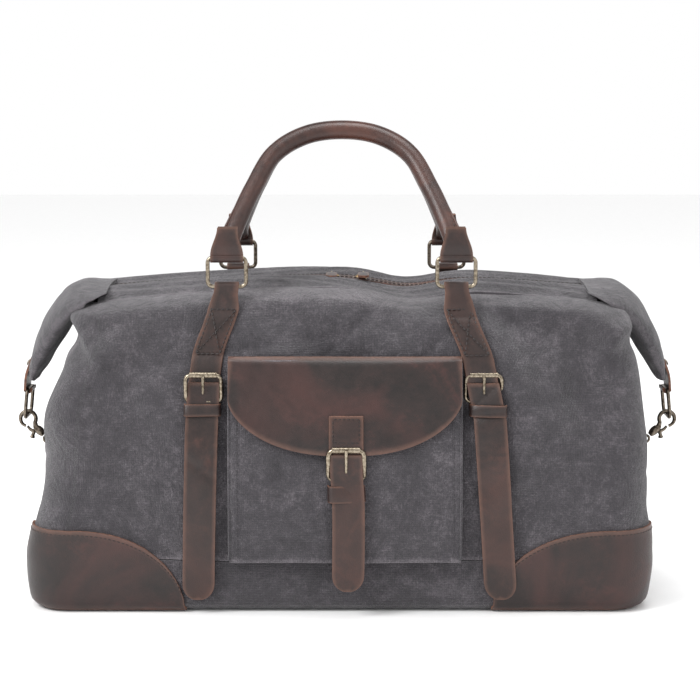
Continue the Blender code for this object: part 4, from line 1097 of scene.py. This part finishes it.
front_u, corner_u = np.linspace(-PATCH_FRONT, 0, 60), np.linspace(0, 1, 18)[1:]
patch_u = np.concatenate([front_u, corner_u, 1 + np.linspace(0, PATCH_SIDE, 26)[1:]])
patch_far = np.concatenate([np.linspace(-1, 0, 60), np.zeros(17), np.linspace(0, 1, 26)[1:]])
patch_rise = (PATCH_TOP - PATCH_LOW) * (1 - np.abs(patch_far * 0.992) ** 2.2) ** 0.5
stitched = patch_rise > 0.012
seam_drop = 0.0038 * np.sqrt(np.maximum(patch_rise / (PATCH_TOP - PATCH_LOW), 0.05))
for name, corner, mirrored in CORNERS_OF:
    columns = corner + (1 - patch_u if mirrored else patch_u)
    z = PATCH_LOW + np.linspace(0, 1, 30)[:, None] * patch_rise[None, :]
    u = np.broadcast_to(columns, z.shape)
    patch = sheet(name, on_patch(u, z, PATCH_OUT), on_patch(u, z, GAP), leather_sheet, wear_width=0.006)
    place(patch, "bag", "leather", name)
    line_u, line_z = columns[None, stitched], (PATCH_LOW + patch_rise - seam_drop)[None, stitched]
    path = on_patch(line_u, line_z, PATCH_OUT)[0]
    outward = path - on_patch(line_u, line_z, 0.0)[0]
    place(stitches(f"{name}_stitches", path, outward, thread_brown, 0.0040, 0.0028, 0.0004), "bag", "leather")
print("patches done")

# %% [markdown]
# ## The zipped mouth
# Two canvas lips meet at the zip. Each lip has a leather binding along the zip, and the lips sag between the
# handle rings. Every tooth is a small brass block; the two rows interlock, so one row is half a pitch along.

# %% Lips and zip
MOUTH_X, MOUTH_HALF, LIP_HINGE_Y = SLOUCH, 0.2235, 0.0556
LIP_Z, LIP_CROWN, LIP_COLUMNS = 0.2812, 0.0024, 150
TOOTH_PITCH = 0.0026
lip_x = np.linspace(MOUTH_X - MOUTH_HALF + 0.001, MOUTH_X + MOUTH_HALF - 0.001, LIP_COLUMNS)
bind_z = LIP_Z + LIP_CROWN - 0.75 * top_drop(lip_x) + 0.0004


def along_lip(y, z):
    """A grid with a column at every lip_x: y is one row value each, z is a row value or a grid."""
    y = np.asarray(y)[:, None]
    return np.stack(np.broadcast_arrays(lip_x[None, :], y, z), -1)


def mouth_lip(face, sign):
    """Half of the soft top: it puffs up between its hinge and the zip, and sags with top_drop."""
    x, share = np.meshgrid(lip_x, np.linspace(-0.05, 1, 30))
    across = np.clip(share, 0, 1) * math.pi
    y = sign * (LIP_HINGE_Y - share * (LIP_HINGE_Y - 0.0062))
    puff = 0.0065 - 0.0050 * np.exp(-(((x - 0.030) / 0.045) ** 2)) if face == "front" else 0.0075
    ripple = 0.0009 * np.sin(60 * x + 25 * share + 2 * np.sin(23 * x)) * np.sin(across)
    crown = LIP_CROWN * np.sin(across * 0.5) + puff * np.sin(across)
    outer = np.stack([x, y, LIP_Z + crown - top_drop(x) * (1 - 0.25 * share) + ripple], axis=-1)
    lip = sheet(f"{face}_lip", outer, outer - [0, 0, CANVAS], canvas_sheet, wear_width=0.005)
    place(lip, f"{face}_mouth", "canvas", f"{face}_lip")


def lip_binding(face, sign):
    """A strip of leather folded over the lip's edge, and its stitching."""
    body = f"{face}_mouth"
    rows_y = sign * np.array([0.0116, 0.0110, 0.0090, 0.0066, 0.0050, 0.0046])
    rows_z = np.array([-0.0006, 0.0010, 0.0018, 0.0017, 0.0007, -0.0010])
    outer = along_lip(rows_y, bind_z[None, :] + rows_z[:, None])
    inner, finishes = outer - [0, 0, 0.0014], [handle_leather, raw_edge]
    binding = sheet(f"{face}_binding", outer, inner, finishes, rounding=0.0003, wear_width=0.002)
    place(binding, body, "leather")
    seam = along_lip([sign * 0.0092], bind_z + 0.0019)[0]
    thread = stitches(f"{face}_binding_stitches", seam, (0, 0, 1), thread_brown, 0.0040, 0.0028, 0.0004)
    place(thread, body, "leather")


def half_zip(face, sign):
    """The tape, and a row of brass blocks along it; the rear row is half a pitch along."""
    body = f"{face}_mouth"
    tape = along_lip([sign * 0.0058, sign * 0.0010], bind_z - 0.0008)
    tape_sheet = sheet(f"{face}_zip_tape", tape, tape - [0, 0, 0.0008], [lining_cloth], rounding=0)
    place(tape_sheet, body, "hardware", f"{face}_zip")
    count = int(2 * MOUTH_HALF / TOOTH_PITCH) - 2
    tooth_x = MOUTH_X - MOUTH_HALF + 0.004 + TOOTH_PITCH * (np.arange(count) + (0.5 if sign > 0 else 0.0))
    corner = np.array([(i, j, k) for i in (-1, 1) for j in (-1, 1) for k in (-1, 1)], float)
    half_size = np.array([0.00055, 0.0017, 0.0009])
    tooth_z = np.interp(tooth_x, lip_x, bind_z) + 0.0002
    middle = np.stack([tooth_x, np.full(count, sign * 0.0013), tooth_z], axis=1)
    points = (middle[:, None] + corner[None] * half_size).reshape(-1, 3)
    block = np.array([(0, 1, 3, 2), (4, 6, 7, 5), (0, 4, 5, 1), (2, 3, 7, 6), (0, 2, 6, 4), (1, 5, 7, 3)])
    quads = (block[None] + 8 * np.arange(count)[:, None, None]).reshape(-1, 4)
    teeth = make_piece(f"{face}_zip_teeth", points, quads, [zip_metal])
    place(round_edges(teeth, 0.0002, 1), body, "hardware")


for face, sign in (("front", -1), ("rear", 1)):
    mouth_lip(face, sign)
    lip_binding(face, sign)
    half_zip(face, sign)

# %% Sliders and pulls
# Height above the slider's foot, and share of the full plate, from the base up to the bridge
SLIDER_ROWS = [(0.0, 1.0), (0.0006, 1.06), (0.0018, 1.0), (0.0024, 0.72), (0.0042, 0.34), (0.0046, 0.22)]


def circle(count):
    """Evenly spaced angles round a full turn."""
    return np.linspace(0, 2 * math.pi, count, endpoint=False)


def stack(name, rings, finish):
    """A solid from a stack of closed rings, capped at both ends."""
    rows, sides = len(rings), len(rings[0])
    caps = (range(sides), range((rows - 1) * sides, rows * sides))
    return make_piece(name, np.stack(rings), grid_quads(rows, sides, wrap=True), [finish], caps=caps)


for side, where in SIDES:
    low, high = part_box(f"slider_{side}")
    cx = (low[0] + high[0]) / 2
    plate = rounded_outline(0.0125, 0.0095, 0.003, 5)
    rings = []
    for h, g in SLIDER_ROWS:
        rings.append(np.stack([cx + plate[:, 0] * g, plate[:, 1] * g, np.full(len(plate), low[2] + h)], 1))
    place(stack(f"slider_{side}", rings, zip_metal), f"{side}_slider", "hardware", f"slider_{side}")

    low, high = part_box(f"zip_pull_{side}")
    cx = (low[0] + high[0]) / 2
    t = np.linspace(0, 1, 40)
    rise = 0.0006 * np.sin(t * math.pi) - 0.0006 * t
    line = np.stack([np.full(40, cx), -0.0008 - 0.0277 * t, 0.2878 + rise], 1)
    rounding = np.sqrt(np.maximum(1 - np.clip((t - 0.86) / 0.14, 0, 1) ** 2.5, 0.02))
    half = 0.0050 * np.minimum(1, 0.55 + 1.1 * t) * rounding
    pull = ribbon(f"zip_pull_{side}", line, (-1, 0, 0), half, 0.0020, strap_sheet, wear_width=0.003)
    place(pull, f"{side}_pull", "leather", f"zip_pull_{side}")
    a = circle(20)
    link = np.stack([np.full(20, cx), -0.0016 + 0.0030 * np.cos(a), 0.2872 + 0.0020 * np.sin(a)], 1)
    place(tube(f"pull_link_{side}", link, 0.0007, [antique_metal], 8, True), f"{side}_pull", "hardware")
print("mouth done")

# %% [markdown]
# ## Ears, snap hooks and end rings
# Beyond the lips the mouth's ends are soft canvas wings. Each one folds down over the end wall, and a leather
# tab on its tip holds a ring. A snap hook joins that ring to a small ring sewn on the end wall.

# %% Ears
# Distance from the middle, height, half width, half thickness and droop of the edges, mouth to tip
EAR = np.array([
    (0.214, 0.2790, 0.060, 0.0016, 0.005), (0.226, 0.2785, 0.067, 0.0030, 0.009),
    (0.238, 0.2765, 0.070, 0.0060, 0.012), (0.2495, 0.2685, 0.066, 0.0095, 0.012),
    (0.2625, 0.2500, 0.053, 0.0115, 0.009), (0.2745, 0.2265, 0.040, 0.0105, 0.005),
    (0.2835, 0.2060, 0.029, 0.0075, 0.002), (0.2885, 0.1915, 0.021, 0.0035, 0.0)])
EAR_ROWS, EAR_SIDES, EAR_WIDEST = 84, 64, 0.07
ear_curve = curve_through(EAR, EAR_ROWS)
ear_ahead = np.gradient(ear_curve[:, :2], axis=0)
ear_ahead /= np.linalg.norm(ear_ahead, axis=1, keepdims=True)
ear_normal = np.stack([-ear_ahead[:, 1], ear_ahead[:, 0]], axis=1)


def at_end(sign, x, y, z):
    """A point on the left (-1) or right (1) end, from its distance from the middle."""
    x, y, z = np.broadcast_arrays(np.asarray(x, float), y, z)
    return np.stack([sign * x + slouch(z), y, z], axis=-1)


def ear(side, sign):
    """A soft wing: rings (w cos^0.9, h sin^0.7) along a curve, with edges that droop as width squared."""
    a = (np.arange(EAR_SIDES) * 2 * math.pi / EAR_SIDES)[None, :]
    c, s = np.cos(a), np.sin(a)
    width = ear_curve[:, 2:3] * np.sign(c) * np.abs(c) ** 0.9
    run = np.arange(EAR_ROWS)[:, None] / EAR_ROWS
    soft = 0.0006 * np.sin(9 * width / EAR_WIDEST + 9 * run + sign) * np.sin(11 * run * math.pi + 2 * c)
    droop = ear_curve[:, 4:5] * (width / EAR_WIDEST) ** 2
    push = ear_curve[:, 3:4] * np.sign(s) * np.abs(s) ** 0.7 - droop + soft * smooth(0.05, 0.3, run)
    x, z = (ear_curve[:, i:i + 1] + ear_normal[:, i:i + 1] * push for i in (0, 1))
    rings = at_end(sign, x, width, z)
    around = np.cumsum(np.full(rings.shape[:2], 0.004), axis=1)
    uv = np.stack([around, lengths_along(rings, 0)], axis=-1)
    worn = (1 - smooth(0.0, 0.35, np.abs(s))) * 0.8 + 0 * run
    caps = (range(EAR_SIDES), range((EAR_ROWS - 1) * EAR_SIDES, EAR_ROWS * EAR_SIDES))
    quads = grid_quads(EAR_ROWS, EAR_SIDES, wrap=True)
    made = make_piece(f"{side}_ear", rings, quads, [washed_canvas], uv=uv, wear=worn, caps=caps)
    place(made, f"{side}_ear_wing", "canvas", f"{side}_ear")


# %% Tabs with rivets
END_LEATHER = 0.0020
EAR_RING_TOP, EAR_RING_LOW, EAR_WIRE = (0.2930, 0.1815), (0.2955, 0.1560), 0.0016
SIDE_RING, SIDE_WIRE = (0.2712, 0.1215), 0.0013


def end_tab(name, body, sign, flat_part, ring, wire, turn, every, half, wear_width):
    """A strip that lies on the canvas and folds round a ring: its line is in the x, z plane of the end."""
    loop = wire + GAP + 0.0009
    fold = np.stack([ring[0] + loop * np.cos(turn), ring[1] + loop * np.sin(turn)], axis=1)
    line = curve_through(np.concatenate([flat_part, fold[::every]]), 60)
    centre = at_end(sign, line[:, 0], 0.0, line[:, 1])
    tab = ribbon(name, centre, (0, -sign, 0), half, END_LEATHER, strap_sheet, wear_width=wear_width)
    place(tab, body, "leather", name)


def rivet(name, body, sign, foot, slope, y, rows):
    """A domed head. rows gives its radius at each height along the slope."""
    a = circle(16)
    rings = []
    for h, r in rows:
        x, z = foot + slope * h
        up = r * np.sin(a)
        rings.append(at_end(sign, x - slope[1] * up, y + r * np.cos(a), z + slope[0] * up))
    place(stack(name, rings, end_metal_and_rear_ring_shade), body, "hardware")


def ear_tab(side, sign):
    """The leather tab on the ear's tip, closed by two rivets."""
    outside = np.array([(0.2836, 0.2215), (0.2885, 0.2100), (0.2938, 0.1960)])
    wide = np.interp(np.arange(60), (0, 6, 26, 36), (0.0150, 0.0172, 0.0150, 0.0110))
    turn = np.linspace(0.6, -3.6, 26)
    body = f"{side}_ear_wing"
    end_tab(f"{side}_ear_tab", body, sign, outside, EAR_RING_TOP, EAR_WIRE, turn, 5, wide, 0.004)
    head = ((0.0, 0.0034), (0.0009, 0.0031), (0.0015, 0.0018), (0.0017, 0.0002))
    slope = np.array([0.86, 0.50])
    foot = np.array([0.2912, 0.2055]) + slope * 0.0012
    for index, y in enumerate((-0.0075, 0.0075)):
        rivet(f"{side}_ear_rivet_{index}", body, sign, foot, slope, y, head)


def side_tab(side, sign):
    """The small tab sewn and riveted on the end wall."""
    wall = [(float(level_values(h)[0]) + GAP + 0.0014, h) for h in (0.088, 0.094, 0.100, 0.106, 0.111)]
    turn = np.linspace(3.14, -0.6, 20)
    end_tab(f"{side}_side_tab", "bag", sign, wall, SIDE_RING, SIDE_WIRE, turn, 4, 0.0070, 0.003)
    head = ((0.0, 0.0030), (0.0007, 0.0028), (0.0013, 0.0016), (0.0015, 0.0002))
    foot = np.array([float(level_values(0.098)[0]) + GAP + 0.0022, 0.098])
    rivet(f"{side}_side_rivet", "bag", sign, foot, np.array([1.0, 0.0]), 0.0, head)


# %% Rings and snap hooks
HOOK, EYE = np.array([0.2955, 0.1524]), np.array([0.2772, 0.1335])
HOOK_STEP = (EYE - HOOK) / np.linalg.norm(EYE - HOOK)
HOOK_HEADING = math.atan2(HOOK_STEP[1], HOOK_STEP[0])


def end_bar(node, body, sign, line, radii, sides, closed=False):
    """A bent bar in the x, z plane of the end."""
    made = tube(node, at_end(sign, line[:, 0], 0.0, line[:, 1]), radii, [end_metal_and_rear_ring_shade], sides, closed)
    place(made, body, "hardware", node)


def ear_ring(side, sign):
    """The ring that hangs from the ear tab, leaning from its top bar to its lower bar."""
    top, low = np.array(EAR_RING_TOP), np.array(EAR_RING_LOW)
    flat = rounded_outline(0.036, top[1] - low[1], 0.006, 6)
    share = 0.5 - flat[:, 1] / (top[1] - low[1])
    path = at_end(sign, top[0] + share * (low[0] - top[0]), flat[:, 0], top[1] + share * (low[1] - top[1]))
    made = tube(f"{side}_ear_ring", path, 0.0017, [end_metal_and_rear_ring_shade], 12, True)
    place(made, f"{side}_ear_loop", "hardware", f"{side}_ear_ring")


def snap_hook(side, sign):
    """The hook is an arc of 282 degrees and a turned shank; a sprung trigger closes its gap."""
    turns = np.linspace(HOOK_HEADING - math.radians(300), HOOK_HEADING - math.radians(18), 60)
    bow = np.stack([HOOK[0] + 0.0071 * np.cos(turns), HOOK[1] + 0.0071 * np.sin(turns)], axis=1)
    shank = np.stack([HOOK + HOOK_STEP * d for d in (0.0100, 0.0125, 0.0155, 0.0185, 0.0213)])
    swell = [0.0026, 0.0036, 0.0040, 0.0036, 0.0022]
    radii = np.concatenate([np.linspace(0.0014, 0.0019, 20), np.full(40, 0.0019), swell])
    end_bar(f"{side}_hook", f"{side}_snap", sign, np.concatenate([bow, shank]), radii, 14)

    across = np.array([-HOOK_STEP[1], HOOK_STEP[0]])
    tip_turn = HOOK_HEADING - math.radians(312)
    tip = HOOK + 0.0070 * np.array([math.cos(tip_turn), math.sin(tip_turn)])
    start = HOOK + HOOK_STEP * 0.0125 + across * 0.0046
    knob = start + HOOK_STEP * 0.0035 + across * 0.0050
    line = curve_through([tip, (tip + start) / 2 + across * 0.0006, start, (start + knob) / 2, knob], 30)
    radii = np.interp(np.arange(30), (0, 14, 22, 26, 29), (0.0012, 0.0018, 0.0016, 0.0024, 0.0019))
    end_bar(f"{side}_trigger", f"{side}_gate", sign, line, radii, 12)
    a = circle(32)
    eye = np.stack([EYE[0] + 0.0033 * np.cos(a), EYE[1] + 0.0033 * np.sin(a)], axis=1)
    end_bar(f"{side}_swivel", f"{side}_eye", sign, eye, 0.0012, 10, True)


def side_ring(side, sign):
    """The ring in the wall tab."""
    flat = rounded_outline(0.022, 0.0165, 0.005, 6)
    path = at_end(sign, np.full(len(flat), SIDE_RING[0]), flat[:, 0], SIDE_RING[1] + 0.00825 + flat[:, 1])
    made = tube(f"{side}_side_ring", path, SIDE_WIRE, [end_metal_and_rear_ring_shade], 12, True)
    place(made, f"{side}_wall_ring", "hardware", f"{side}_side_ring")


for side, sign in SIDES:
    for build in (ear, ear_tab, ear_ring, snap_hook, side_ring, side_tab):
        build(side, sign)
print("ends done")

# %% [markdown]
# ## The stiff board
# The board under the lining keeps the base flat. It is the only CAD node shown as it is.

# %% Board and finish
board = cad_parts["base_board"]
board.data.materials.clear()
board.data.materials.append(stiff_board)
